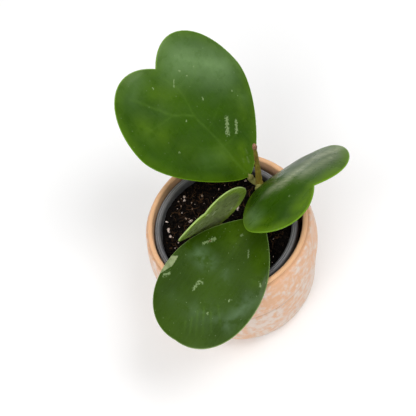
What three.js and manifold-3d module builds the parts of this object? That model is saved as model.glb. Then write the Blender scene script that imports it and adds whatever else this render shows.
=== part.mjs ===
// A potted heart-leaf hoya: a mottled earthenware cover pot, a plastic grower pot inside it, potting mix,
// a short woody stem and four thick leaves. Millimetres, +Z up. The origin is the centre of the cover
// pot's flat base, and the plant is seen best from the -Y side and above.
import * as THREE from "three";
import { mergeVertices } from "three/addons/utils/BufferGeometryUtils.js";
import Module from "manifold-3d";

const wasm = await Module();
wasm.setup();

// ---- driving dimensions ----
const GAP = 0.3; // clearance between pieces that touch

// The outside goes up from the foot in curved stretches, each two handles and an end as radius, height.
const COVER_POT = {
  baseRadius: 41,
  outside: [
    [46, 0.4, 50.7, 10, 52.3, 21], // rounded foot
    [53.3, 33, 55.4, 47, 54.9, 58.6], // body, up to the groove
    [56.8, 58.9, 56.8, 62, 56.8, 66], // the collar's rolled lower edge
    [56.4, 74, 55.2, 79, 54.2, 86.6], // collar
    [53.9, 87.8, 52.6, 88.2, 51.7, 88.7], // shoulder, down to the lip
  ],
  inside: [[48.95, 88.8], [49.45, 62], [47.3, 24], [41, 8.5], [36, 6]],
  floor: 6,
  lipHeight: 92,
  lipInner: 48.95,
  lipRound: 1.6, // radius of the lip's round section
  lipStart: -0.6, // where that round leaves the shoulder, in radians
  sides: 48,
};

const GROWER_POT = {
  centre: [-1.5, 0.45], // it stands a little to one side
  rimHeight: 86.9,
  rimRadius: 47,
  rimDepth: 8,
  rimThick: 2, // down to the hollow behind the skirt
  ridges: [[0, 1.4], [0.5, 0.4], [1.1, 0], [1.6, 0.4], [2.2, 0], [2.8, 0.3]], // inset and drop
  skirt: 1.1, // thickness of the rim's outer band
  mouthRadius: 43.3,
  mouthDrop: 0.9,
  throatRadius: 43, // inside, just below the rim
  throatDrop: 3.4,
  bottomRadius: 33.4, // inside, at the floor
  wall: 1.2,
  floor: 1.3,
  drainHoles: 7,
  drainRadius: 4,
  drainCircle: 24,
  sides: 44,
};

const SOIL = {
  edgeHeight: 81.6,
  middleHeight: 84.4,
  relief: 0.55, // height of the waves in its top
  waves: [[0.43, 0.8], [0.37, 1.57], [0.71, 2]], // turn per mm and start of each
  rings: 9,
  clods: { count: 30, smallest: 1.6, largest: 3.4 },
  grains: { count: 36, smallest: 0.9, largest: 1.9 },
  raised: 0.15, // how far a lump's middle stands over the top, as a share of its size
  bareEdge: 6, // no lumps this near the mouth
  bareRoom: 4.5, // nor this near the stem and the stalk in the soil
  seed: 7,
};

const STEM = {
  foot: [27.8, 20.8, 62],
  node: [28.3, 21.2, 85.2], // the leaf node, just above the soil
  bend: [30.1, 23.4, 107],
  tip: [31.2, 25.2, 128.5],
  // radius at each share of the way from foot to cut tip: node above the soil, callus at the tip
  girth: [[0, 1.8], [0.32, 2.3], [0.37, 2.8], [0.43, 2.3], [0.65, 1.8], [0.93, 1.2], [0.96, 1.6], [1, 1.1]],
  sides: 10,
  steps: 24,
};

const BLADE = { sides: 36, rings: 10, blunt: 0.4 }; // blunt is near 0 for a square margin
const FOLD_ROUND = 10; // how broad a fold's rounded ridge is
const STALK = { sides: 10, steps: 6, rootDepth: 4, rootRadius: 0.7 }; // the root runs into the blade

// A leaf's outline starts at the stalk, widens to its widest place and comes back to the notch.
// Shares are of the length. Curl bends the tip, cup and fold bend the two halves, in degrees.
const HEART = {
  widest: 0.555,
  notch: 0.874,
  baseAngle: 79,
  notchAngle: 44,
  handles: [0.125, 0.209, 0.335, 0.302],
};
const ROUND = {
  widest: 0.594,
  notch: 0.985,
  baseAngle: 47.4,
  notchAngle: 85,
  handles: [0.23, 0.26, 0.255, 0.187],
};

// Spin, rise and roll turn a leaf from lying flat with its tip towards +Y. The stalk goes on from base.
const HEART_BACK = {
  name: "leaf_heart_back",
  outline: HEART,
  length: 107.4,
  halfWidth: 47.1,
  lopsided: 0,
  thick: 1.9,
  base: [24.1, 26.5, 92],
  spin: 31.9,
  rise: 43,
  roll: 0.2,
  curl: -2.2,
  cup: -7.5,
  fold: 0,
  twist: 0,
  stalk: [[24.4, 26.4, 88.4], [27.6, 22.0, 85.2]],
  stalkRadii: [0.9, 2.1, 2.2, 1.5],
  colour: 0x3f6b1c,
};
const HEART_RIGHT = {
  name: "leaf_heart_right",
  outline: HEART,
  length: 88.6,
  halfWidth: 39,
  lopsided: 0.013,
  thick: 1.9,
  base: [25.5, 15.3, 93.5],
  spin: -143.6,
  rise: 63.1,
  roll: -7.8,
  curl: -35,
  cup: -1,
  fold: -10,
  twist: -5.7,
  stalk: [[25.8, 15.8, 90.6], [28.6, 21.2, 88.4]],
  stalkRadii: [1.4, 1.6, 1.7],
  colour: 0x466f22,
};
const FRONT = {
  name: "leaf_front",
  outline: ROUND,
  length: 98.9,
  halfWidth: 33.5,
  lopsided: 0.029,
  thick: 1.8,
  base: [22.8, -7.1, 96],
  spin: 128.7,
  rise: 5.2,
  roll: -3.7,
  curl: -18.3,
  cup: -8.6,
  fold: 0,
  twist: -1.8,
  stalk: [[29.5, 0.5, 92], [31.4, 11, 88], [28.8, 21.0, 85.4]],
  stalkRadii: [1.4, 1.5, 1.6, 1.6],
  colour: 0x3a651f,
};
const YOUNG = {
  name: "leaf_young",
  outline: { ...HEART, widest: 0.53, notchAngle: 41 },
  length: 49.3,
  halfWidth: 26.6,
  lopsided: -0.045,
  thick: 1.9,
  base: [-4.4, 2.9, 86],
  spin: 136.4,
  rise: 74.7,
  roll: 51.3,
  curl: -13.8,
  cup: 0,
  fold: -0.5,
  twist: -15.8,
  stalk: [[-4.1, 3.6, 83], [-4, 4, 74]],
  stalkRadii: [1.3, 1.5, 1.3],
  colour: 0x6f8a4a,
};

// ---- solids ----
const radians = THREE.MathUtils.degToRad;

/** A closed geometry as a solid that can be joined and cut. */
function solid(geometry) {
  const bare = geometry.index ? geometry.clone() : mergeVertices(geometry);
  bare.deleteAttribute("normal");
  bare.deleteAttribute("uv");
  const merged = mergeVertices(bare, 1e-3);
  const triVerts = dropSlivers(merged.index.array);
  const vertProperties = new Float32Array(merged.attributes.position.array);
  return new wasm.Manifold(new wasm.Mesh({ numProp: 3, vertProperties, triVerts }));
}

/** The triangles whose three corners differ: poles and seams leave some that don't. */
function dropSlivers(index) {
  const kept = [];
  for (let i = 0; i < index.length; i += 3) {
    const [a, b, c] = [index[i], index[i + 1], index[i + 2]];
    if (a !== b && b !== c && c !== a) kept.push(a, b, c);
  }
  return new Uint32Array(kept);
}

/** The largest body of a solid, without the scraps that a cut left loose. */
function wholest(body) {
  return body.decompose().sort((a, b) => b.volume() - a.volume())[0];
}

/** A solid back as a geometry. */
function surface(body) {
  const mesh = body.getMesh();
  const geometry = new THREE.BufferGeometry();
  geometry.setAttribute("position", new THREE.BufferAttribute(mesh.vertProperties, 3));
  geometry.setIndex(new THREE.BufferAttribute(mesh.triVerts, 1));
  geometry.computeVertexNormals();
  return geometry;
}

/** A named mesh with its own material. */
function piece(name, geometry, colour, roughness) {
  const material = new THREE.MeshStandardMaterial({ color: colour, roughness, metalness: 0 });
  const mesh = new THREE.Mesh(geometry, material);
  mesh.name = name;
  return mesh;
}

/** A profile of radius and height, turned round the Z axis. */
function turned(points, sides) {
  const geometry = new THREE.LatheGeometry(points, sides);
  geometry.rotateX(Math.PI / 2);
  return geometry;
}

/** Repeatable random numbers from 0 to 1. */
function seeded(seed) {
  let state = seed;
  return () => {
    state = (state * 16807) % 2147483647;
    return state / 2147483647;
  };
}

/** A value read along a list of pairs of share and value. */
function along(pairs, t) {
  const next = Math.max(1, pairs.findIndex(([share]) => share >= t));
  const [[t0, v0], [t1, v1]] = [pairs[next - 1], pairs[next]];
  return THREE.MathUtils.mapLinear(t, t0, t1, v0, v1);
}

/** Values at even shares, as pairs of share and value. */
function evenly(values) {
  return values.map((value, i) => [i / (values.length - 1), value]);
}

/** A round limb of changing radius along a curve, with both ends closed, or one grown all round. */
function limb(curve, girth, steps, sides, grow = 0) {
  const profile = [new THREE.Vector2(0, 0)];
  for (let i = 0; i <= steps; i += 1) profile.push(new THREE.Vector2(along(girth, i / steps) + grow, i));
  profile.push(new THREE.Vector2(0, steps));
  const geometry = new THREE.LatheGeometry(profile, sides);
  const frames = curve.computeFrenetFrames(steps, false);
  const place = geometry.attributes.position;
  for (let i = 0; i < place.count; i += 1) {
    const step = Math.round(place.getY(i));
    const point = curve.getPointAt(step / steps);
    point.addScaledVector(frames.binormals[step], place.getX(i));
    point.addScaledVector(frames.normals[step], place.getZ(i));
    if (step === 0) point.addScaledVector(frames.tangents[step], -grow);
    if (step === steps) point.addScaledVector(frames.tangents[step], grow);
    place.setXYZ(i, point.x, point.y, point.z);
  }
  return geometry;
}

// ---- pots ----

/** The cover pot: rounded foot, plain body, groove, bulging collar and a rounded lip. */
function coverPot() {
  const pot = COVER_POT;
  const outside = new THREE.Path();
  outside.moveTo(0, 0);
  outside.lineTo(pot.baseRadius, 0);
  for (const stretch of pot.outside) outside.bezierCurveTo(...stretch);
  const lip = new THREE.Path();
  const middle = pot.lipInner + pot.lipRound;
  lip.absarc(middle, pot.lipHeight - pot.lipRound, pot.lipRound, pot.lipStart, Math.PI, false);
  const inside = new THREE.SplineCurve(pot.inside.map(([r, z]) => new THREE.Vector2(r, z)));
  const floor = new THREE.Vector2(0, pot.floor);
  return turned([...outside.getPoints(4), ...lip.getPoints(6), ...inside.getPoints(5), floor], pot.sides);
}

/** The grower pot: tapered wall, ridged rim with a skirt that hangs clear of the wall, drain holes. */
function growerPot() {
  const pot = GROWER_POT;
  const bottom = COVER_POT.floor + GAP;
  const top = pot.rimHeight;
  const wallOut = pot.throatRadius + pot.wall;
  const skirtIn = pot.rimRadius - pot.skirt;
  const outline = [
    [0, bottom],
    [pot.bottomRadius, bottom],
    [pot.bottomRadius + pot.wall, bottom + pot.floor],
    [wallOut, top - pot.throatDrop],
    [wallOut, top - pot.rimThick],
    [skirtIn, top - pot.rimThick],
    [skirtIn, top - pot.rimDepth],
    [pot.rimRadius, top - pot.rimDepth],
    ...pot.ridges.map(([inset, drop]) => [pot.rimRadius - inset, top - drop]),
    [pot.mouthRadius, top - pot.mouthDrop],
    [pot.throatRadius, top - pot.throatDrop],
    [pot.bottomRadius, bottom + pot.floor],
    [0, bottom + pot.floor],
  ];
  let shell = solid(turned(outline.map(([r, z]) => new THREE.Vector2(r, z)), pot.sides));
  const depth = 4 * pot.floor; // right through the floor
  const drain = new THREE.CylinderGeometry(pot.drainRadius, pot.drainRadius, depth, 12);
  drain.rotateX(Math.PI / 2);
  for (let i = 0; i < pot.drainHoles; i += 1) {
    const turn = (i / pot.drainHoles) * 2 * Math.PI;
    const place = [pot.drainCircle * Math.cos(turn), pot.drainCircle * Math.sin(turn), bottom];
    shell = shell.subtract(solid(drain.clone().translate(...place)));
  }
  return surface(shell).translate(...pot.centre, 0);
}

// ---- soil ----

/** Height of the soil's top at a place measured from the grower pot's centre. */
function soilTop(x, y) {
  const share = Math.hypot(x, y) / GROWER_POT.mouthRadius;
  const mound = THREE.MathUtils.lerp(SOIL.middleHeight, SOIL.edgeHeight, share ** 3);
  const [first, second, third] = SOIL.waves;
  const cross = Math.sin(first[0] * x + first[1]) * Math.sin(second[0] * y + second[1]);
  return mound + SOIL.relief * (cross + Math.sin(third[0] * (y - 0.5 * x) + third[1]));
}

/** The packed body of the soil, with its waved top. */
function soilBody() {
  const pot = GROWER_POT;
  const bottom = COVER_POT.floor + GAP + pot.floor + GAP;
  const taper = (pot.throatRadius - pot.bottomRadius) / (pot.rimHeight - pot.throatDrop - bottom);
  const edge = pot.bottomRadius - GAP + taper * (SOIL.edgeHeight - bottom);
  const profile = [new THREE.Vector2(0, bottom), new THREE.Vector2(pot.bottomRadius - GAP, bottom)];
  for (let i = SOIL.rings; i >= 0; i -= 1) {
    profile.push(new THREE.Vector2((edge * i) / SOIL.rings, SOIL.edgeHeight));
  }
  const geometry = turned(profile, pot.sides);
  const place = geometry.attributes.position;
  for (let i = 0; i < place.count; i += 1) {
    const onTop = place.getZ(i) > SOIL.edgeHeight - 1;
    if (onTop) place.setZ(i, soilTop(place.getX(i), place.getY(i)));
  }
  return solid(geometry);
}

/** Angular lumps of one kind, strewn over the soil by a seeded rule and clear of the bare places. */
function lumps(kind, draw, bare) {
  const found = [];
  while (found.length < kind.count) {
    const turn = draw() * 2 * Math.PI;
    const reach = Math.sqrt(draw()) * (GROWER_POT.mouthRadius - SOIL.bareEdge);
    const [x, y] = [reach * Math.cos(turn), reach * Math.sin(turn)];
    const size = THREE.MathUtils.lerp(kind.smallest, kind.largest, draw() ** 2);
    const shape = new THREE.IcosahedronGeometry(size, 0);
    shape.scale(0.75 + 0.5 * draw(), 0.75 + 0.5 * draw(), 0.6 + 0.3 * draw());
    shape.rotateZ(draw() * Math.PI);
    shape.rotateX(draw() * 0.6);
    shape.translate(x, y, soilTop(x, y) + SOIL.raised * size);
    const blocked = bare.some(([bx, by]) => Math.hypot(x - bx, y - by) < SOIL.bareRoom + size);
    if (!blocked) found.push(solid(shape));
  }
  return found;
}

/** The soil with clods and pale grains grown into its top, and plain holes for stem and stalk. */
function soil(holes) {
  const draw = seeded(SOIL.seed);
  const [cx, cy] = GROWER_POT.centre;
  const bare = [STEM.node, YOUNG.base].map(([x, y]) => [x - cx, y - cy]);
  const strewn = [...lumps(SOIL.clods, draw, bare), ...lumps(SOIL.grains, draw, bare)];
  let body = soilBody();
  for (const lump of strewn) body = body.add(lump);
  body = body.translate(cx, cy, 0);
  for (const hole of holes) body = body.subtract(hole);
  return wholest(body);
}

// ---- plant ----

/** The stem's centre line. */
function stemLine() {
  const points = [STEM.foot, STEM.node, STEM.bend, STEM.tip].map((p) => new THREE.Vector3(...p));
  return new THREE.CatmullRomCurve3(points);
}

/** The stem, or the same shape grown by a clearance. */
function stem(grow = 0) {
  return limb(stemLine(), STEM.girth, STEM.steps, STEM.sides, grow);
}

/** One half of a leaf's outline, from the stalk to the notch, as evenly spaced flat points. */
function halfOutline(leaf, side) {
  const { widest, notch, baseAngle, notchAngle, handles } = leaf.outline;
  const reach = leaf.halfWidth * (1 + side * leaf.lopsided);
  const [a, b] = [radians(baseAngle), radians(notchAngle)];
  const [h0, h1, h2, h3] = handles.map((h) => h * leaf.length);
  const [wide, end] = [widest * leaf.length, notch * leaf.length];
  const path = new THREE.Path();
  path.moveTo(0, 0);
  path.bezierCurveTo(h0 * Math.sin(a), h0 * Math.cos(a), reach, wide - h1, reach, wide);
  path.bezierCurveTo(reach, wide + h2, h3 * Math.sin(b), end + h3 * Math.cos(b), 0, end);
  return path.getSpacedPoints(BLADE.sides / 2).map((p) => new THREE.Vector2(side * p.x, p.y));
}

/** A flat place on a leaf, bent into its curled, cupped, folded and twisted shape. */
function bentPlace(leaf, x, y) {
  const straight = 1e-6; // stands in for no bend at all
  const curl = radians(leaf.curl) || straight;
  const cup = radians(leaf.cup) || straight;
  const t = y / leaf.length;
  const across = (Math.sin((cup * x) / leaf.halfWidth) * leaf.halfWidth) / cup;
  const lift = ((1 - Math.cos((cup * x) / leaf.halfWidth)) * leaf.halfWidth) / cup;
  const folded = lift + (Math.hypot(across, FOLD_ROUND) - 0.5 * FOLD_ROUND) * Math.sin(radians(leaf.fold));
  const inward = across * Math.cos(radians(leaf.fold));
  const turn = radians(leaf.twist) * t;
  const side = inward * Math.cos(turn) - folded * Math.sin(turn);
  const up = inward * Math.sin(turn) + folded * Math.cos(turn);
  const forward = (Math.sin(curl * t) * leaf.length) / curl - Math.sin(curl * t) * up;
  const height = ((1 - Math.cos(curl * t)) * leaf.length) / curl + Math.cos(curl * t) * up;
  return new THREE.Vector3(side, forward, height);
}

/** The direction that a leaf's upper face looks in at a flat place. */
function faceDirection(leaf, x, y) {
  const step = 0.5;
  const ahead = bentPlace(leaf, x, y + step).sub(bentPlace(leaf, x, y - step));
  const aside = bentPlace(leaf, x + step, y).sub(bentPlace(leaf, x - step, y));
  return aside.cross(ahead).normalize();
}

/** A leaf blade in its own frame: a flattened ball whose equator is the leaf's outline. */
function blade(leaf) {
  const ball = new THREE.SphereGeometry(1, BLADE.sides, BLADE.rings);
  const right = halfOutline(leaf, 1);
  const left = halfOutline(leaf, -1).reverse();
  const rim = [...right, ...left.slice(1)];
  const middle = new THREE.Vector2(0, 0.5 * leaf.length);
  const place = ball.attributes.position;
  const uv = ball.attributes.uv;
  for (let i = 0; i < place.count; i += 1) {
    const polar = (1 - uv.getY(i)) * Math.PI;
    const edge = rim[(Math.round(uv.getX(i) * BLADE.sides) + BLADE.sides) % BLADE.sides];
    const flat = middle.clone().lerp(edge, Math.sin(polar));
    const half = 0.5 * leaf.thick * Math.sign(Math.cos(polar)) * Math.abs(Math.cos(polar)) ** BLADE.blunt;
    const point = bentPlace(leaf, flat.x, flat.y);
    point.addScaledVector(faceDirection(leaf, flat.x, flat.y), half);
    place.setXYZ(i, point.x, point.y, point.z);
  }
  return ball;
}

/** The stalk's centre line, from inside the blade's base down to its foot, in the part's frame. */
function stalkLine(leaf, pose) {
  const root = bentPlace(leaf, 0, STALK.rootDepth).applyMatrix4(pose);
  const points = [root, new THREE.Vector3(...leaf.base), ...leaf.stalk.map((p) => new THREE.Vector3(...p))];
  return new THREE.CatmullRomCurve3(points);
}

/** Where a leaf stands: its base point, heading, rise and roll. */
function leafPose(leaf) {
  const turn = new THREE.Euler(radians(leaf.rise), radians(leaf.roll), radians(leaf.spin), "ZXY");
  const pose = new THREE.Matrix4().makeRotationFromEuler(turn);
  return pose.setPosition(...leaf.base);
}

/** A leaf's stalk, or the same shape grown by a clearance. */
function stalk(leaf, grow = 0) {
  const girth = evenly([STALK.rootRadius, ...leaf.stalkRadii]);
  return limb(stalkLine(leaf, leafPose(leaf)), girth, STALK.steps, STALK.sides, grow);
}

/** A leaf's blade and stalk as one solid, cut clear of the stem it grows from. */
function leafSolid(leaf, stemRoom) {
  const upper = solid(blade(leaf).applyMatrix4(leafPose(leaf)));
  return upper.add(solid(stalk(leaf))).subtract(stemRoom);
}

// ---- the assembly ----
const stemRoom = solid(stem(GAP));
const youngRoom = solid(stalk(YOUNG, GAP));

const plant = new THREE.Group();
plant.add(piece("stem", stem(), 0x6b5a2a, 0.8));
for (const leaf of [HEART_BACK, HEART_RIGHT, FRONT, YOUNG]) {
  plant.add(piece(leaf.name, surface(leafSolid(leaf, stemRoom)), leaf.colour, 0.35));
}

const potted = new THREE.Group();
potted.add(piece("outer_pot", coverPot(), 0xdcae86, 0.45));
potted.add(piece("grower_pot", growerPot(), 0x67676a, 0.55));
potted.add(piece("soil", surface(soil([stemRoom, youngRoom])), 0x1c1410, 0.95));
potted.add(plant);

export default potted;
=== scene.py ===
"""A potted heart-leaf hoya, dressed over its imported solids.

A mottled earthenware cover pot holds a plastic grower pot of dark potting mix. A short woody stem and
four thick leaves stand in the mix. Sizes are in millimetres in the classes below and become metres when
a mesh is written. +Z is up, the origin is the centre of the cover pot's flat base, and the picture is
taken from the -Y side and above.
"""

import logging
import math
from collections.abc import Iterator
from contextlib import contextmanager
from dataclasses import dataclass
from enum import Enum

import bpy
import numpy as np
from mathutils import Matrix, Vector


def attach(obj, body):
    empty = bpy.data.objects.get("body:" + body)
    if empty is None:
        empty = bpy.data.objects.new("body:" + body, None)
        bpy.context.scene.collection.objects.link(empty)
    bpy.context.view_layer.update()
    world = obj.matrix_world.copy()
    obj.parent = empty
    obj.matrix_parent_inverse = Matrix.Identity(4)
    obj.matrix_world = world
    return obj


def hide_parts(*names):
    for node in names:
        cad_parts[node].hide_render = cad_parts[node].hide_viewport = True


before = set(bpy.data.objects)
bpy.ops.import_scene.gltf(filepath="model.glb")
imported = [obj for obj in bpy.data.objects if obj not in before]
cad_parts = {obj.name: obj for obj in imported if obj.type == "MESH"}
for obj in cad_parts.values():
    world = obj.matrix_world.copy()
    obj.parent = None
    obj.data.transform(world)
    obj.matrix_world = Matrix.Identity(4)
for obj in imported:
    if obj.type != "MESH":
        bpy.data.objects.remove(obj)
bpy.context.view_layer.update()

MM = 0.001
WELD = 0.01 * MM  # how near two vertices are merged
FLAT_SPAN = 100.0  # millimetres to one unit of a leaf's UV map
FOLD_ROUND = 10.0  # how broad a fold's rounded ridge is, in millimetres
VEIN_STEPS = 24  # straight steps that a vein is read in
ROOT_GIRTH = 0.4  # radius of a stalk's end, which lies hidden in the blade
BLOCK = 4096  # how many vertices are compared with a leaf's outline at once
LOG = logging.getLogger("potted_hoya")

Array = np.ndarray
Socket = bpy.types.NodeSocket
Piece = bpy.types.Object
Material = bpy.types.Material
Colour = tuple[float, float, float]
Point = tuple[float, float, float]
Flat = tuple[float, float]
Value = float | int | str | tuple | Socket
Coat = tuple[Value, Value]


class Slot(Enum):
    """The record's material slots."""

    EARTHENWARE = "earthenware"
    GREY_PLASTIC = "grey_plastic"
    POTTING_MIX = "potting_mix"
    BARK = "bark"
    LEAF = "leaf"
    YOUNG_LEAF = "young_leaf"


# ---- materials ----


class Recipe:
    """A material's node tree, put together step by step."""

    def __init__(self, name: str) -> None:
        """Starts a material.

        Args:
            name: The material's name.
        """
        self.material = bpy.data.materials.new(name)
        self.material.use_nodes = True
        self.tree = self.material.node_tree
        self.shader = self.tree.nodes["Principled BSDF"]

    def node(self, kind: str, inputs: dict[str | int, Value], **settings: str | bool) -> bpy.types.Node:
        """Adds a node.

        Args:
            kind: The node's type name, without the ShaderNode that it starts with.
            inputs: A value or another node's output for each input that is set.
            **settings: The node's own properties.

        Returns:
            The new node.
        """
        node = self.tree.nodes.new("ShaderNode" + kind)
        for key, setting in settings.items():
            setattr(node, key, setting)
        for key, value in inputs.items():
            self.feed(node.inputs[key], value)
        return node

    def feed(self, socket: Socket, value: Value) -> None:
        """Sets or links a socket.

        Args:
            socket: The input to set.
            value: A plain value, or another node's output to link.
        """
        if isinstance(value, Socket):
            self.tree.links.new(value, socket)
        elif isinstance(value, tuple) and len(value) == 3 and socket.type == "RGBA":
            socket.default_value = (*value, 1.0)
        else:
            socket.default_value = value

    def scaled(self, source: Value, scale: Point, unit: float) -> Socket:
        """Coordinates in millimetres, stretched; a smaller scale draws a pattern out along its axis."""
        inputs = {"Vector": source, "Scale": tuple(s * unit for s in scale)}
        return self.node("Mapping", inputs).outputs["Vector"]

    def place(self, scale: Point = (1.0, 1.0, 1.0)) -> Socket:
        """Object coordinates in millimetres."""
        return self.scaled(self.node("TexCoord", {}).outputs["Object"], scale, 1.0 / MM)

    def flat(self, scale: Point = (1.0, 1.0, 1.0)) -> Socket:
        """A blade's own flat coordinates, in millimetres."""
        return self.scaled(self.node("UVMap", {}, uv_map="blade").outputs["UV"], scale, FLAT_SPAN)

    def attribute(self, name: str) -> Socket:
        """A number stored at each vertex."""
        return self.node("Attribute", {}, attribute_name=name).outputs["Fac"]

    def noise(self, vector: Value, wave: float, detail: float = 3.0, rough: float = 0.5) -> Socket:
        """Cloudy noise from 0 to 1; wave is the size of its largest clouds, in millimetres."""
        inputs = {"Vector": vector, "Scale": 1.0 / wave, "Detail": detail, "Roughness": rough}
        return self.node("TexNoise", inputs).outputs["Fac"]

    def cells(self, vector: Value, size: float, output: str = "Distance", space: str = "3D") -> Socket:
        """Voronoi cells.

        Args:
            vector: Where they are read, in millimetres.
            size: A cell's size, in millimetres.
            output: Distance from the middle as a share of the size, or each cell's own Color.
            space: 3D, or 2D for flat coordinates.

        Returns:
            The output's socket.
        """
        inputs = {"Vector": vector, "Scale": 1.0 / size}
        return self.node("TexVoronoi", inputs, voronoi_dimensions=space).outputs[output]

    def reach(self, value: Value, low: float, high: float, start: float = 0.0, end: float = 1.0) -> Socket:
        """Draws a range smoothly onto another one.

        Args:
            value: What is read.
            low: The value that gives start.
            high: The value that gives end.
            start: The result at low.
            end: The result at high.

        Returns:
            A number between start and end.
        """
        if low > high:
            low, high, start, end = high, low, end, start
        inputs = {"Value": value, "From Min": low, "From Max": high, "To Min": start, "To Max": end}
        return self.node("MapRange", inputs, interpolation_type="SMOOTHSTEP").outputs["Result"]

    def math(self, operation: str, first: Value, second: Value) -> Socket:
        """One sum of two numbers, such as MAXIMUM or SUBTRACT."""
        return self.node("Math", {0: first, 1: second}, operation=operation).outputs[0]

    def times(self, first: Value, second: Value) -> Socket:
        """One number times another."""
        return self.math("MULTIPLY", first, second)

    def plus(self, first: Value, second: Value) -> Socket:
        """One number added to another."""
        return self.math("ADD", first, second)

    def swing(self, field: Value, amount: float) -> Socket:
        """A field's swing to both sides of 0."""
        return self.times(self.math("SUBTRACT", field, 0.5), amount)

    def broken(self, name: str, field: Value, low: float, high: float, least: float) -> Socket:
        """A stored number, broken up by a field.

        Args:
            name: The attribute.
            field: What breaks it up.
            low: The field's value that lets the least of it through.
            high: The field's value that lets all of it through.
            least: The share at low.

        Returns:
            The number.
        """
        return self.times(self.attribute(name), self.reach(field, low, high, least, 1.0))

    def mix(self, share: Value, below: Value, above: Value) -> Socket:
        """Lays one colour over another by a share."""
        node = self.node("Mix", {0: share, 6: below, 7: above}, data_type="RGBA")
        return node.outputs[2]

    def coats(self, ground: Value, *coats: Coat) -> Socket:
        """Lays coats of colour over a ground.

        Args:
            ground: The lowest colour.
            *coats: How much of each coat shows, and its colour.

        Returns:
            The colour.
        """
        for share, colour in coats:
            ground = self.mix(share, ground, colour)
        return ground

    def bump(self, *layers: tuple[Value, float]) -> Socket:
        """Fine relief.

        Args:
            *layers: The height from 0 to 1 and the depth in millimetres of each layer, from the lowest.

        Returns:
            The bent normal.
        """
        normal = None
        for height, depth in layers:
            node = self.node("Bump", {"Height": height, "Distance": depth * MM, "Strength": 1.0})
            if normal is not None:
                self.feed(node.inputs["Normal"], normal)
            normal = node.outputs["Normal"]
        return normal

    def finish(self, colour: Value, roughness: Value, normal: Value, **sockets: Value) -> Material:
        """Sets the shader.

        Args:
            colour: Base colour.
            roughness: Roughness.
            normal: The bent normal.
            **sockets: Other sockets, with _ for a space in their names.

        Returns:
            The finished material.
        """
        for key, value in {"Base_Color": colour, "Roughness": roughness, "Normal": normal, **sockets}.items():
            self.feed(self.shader.inputs[key.replace("_", " ")], value)
        return self.material


def darker(colour: Colour, share: float) -> Colour:
    """A colour made darker."""
    return tuple(share * c for c in colour)


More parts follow.
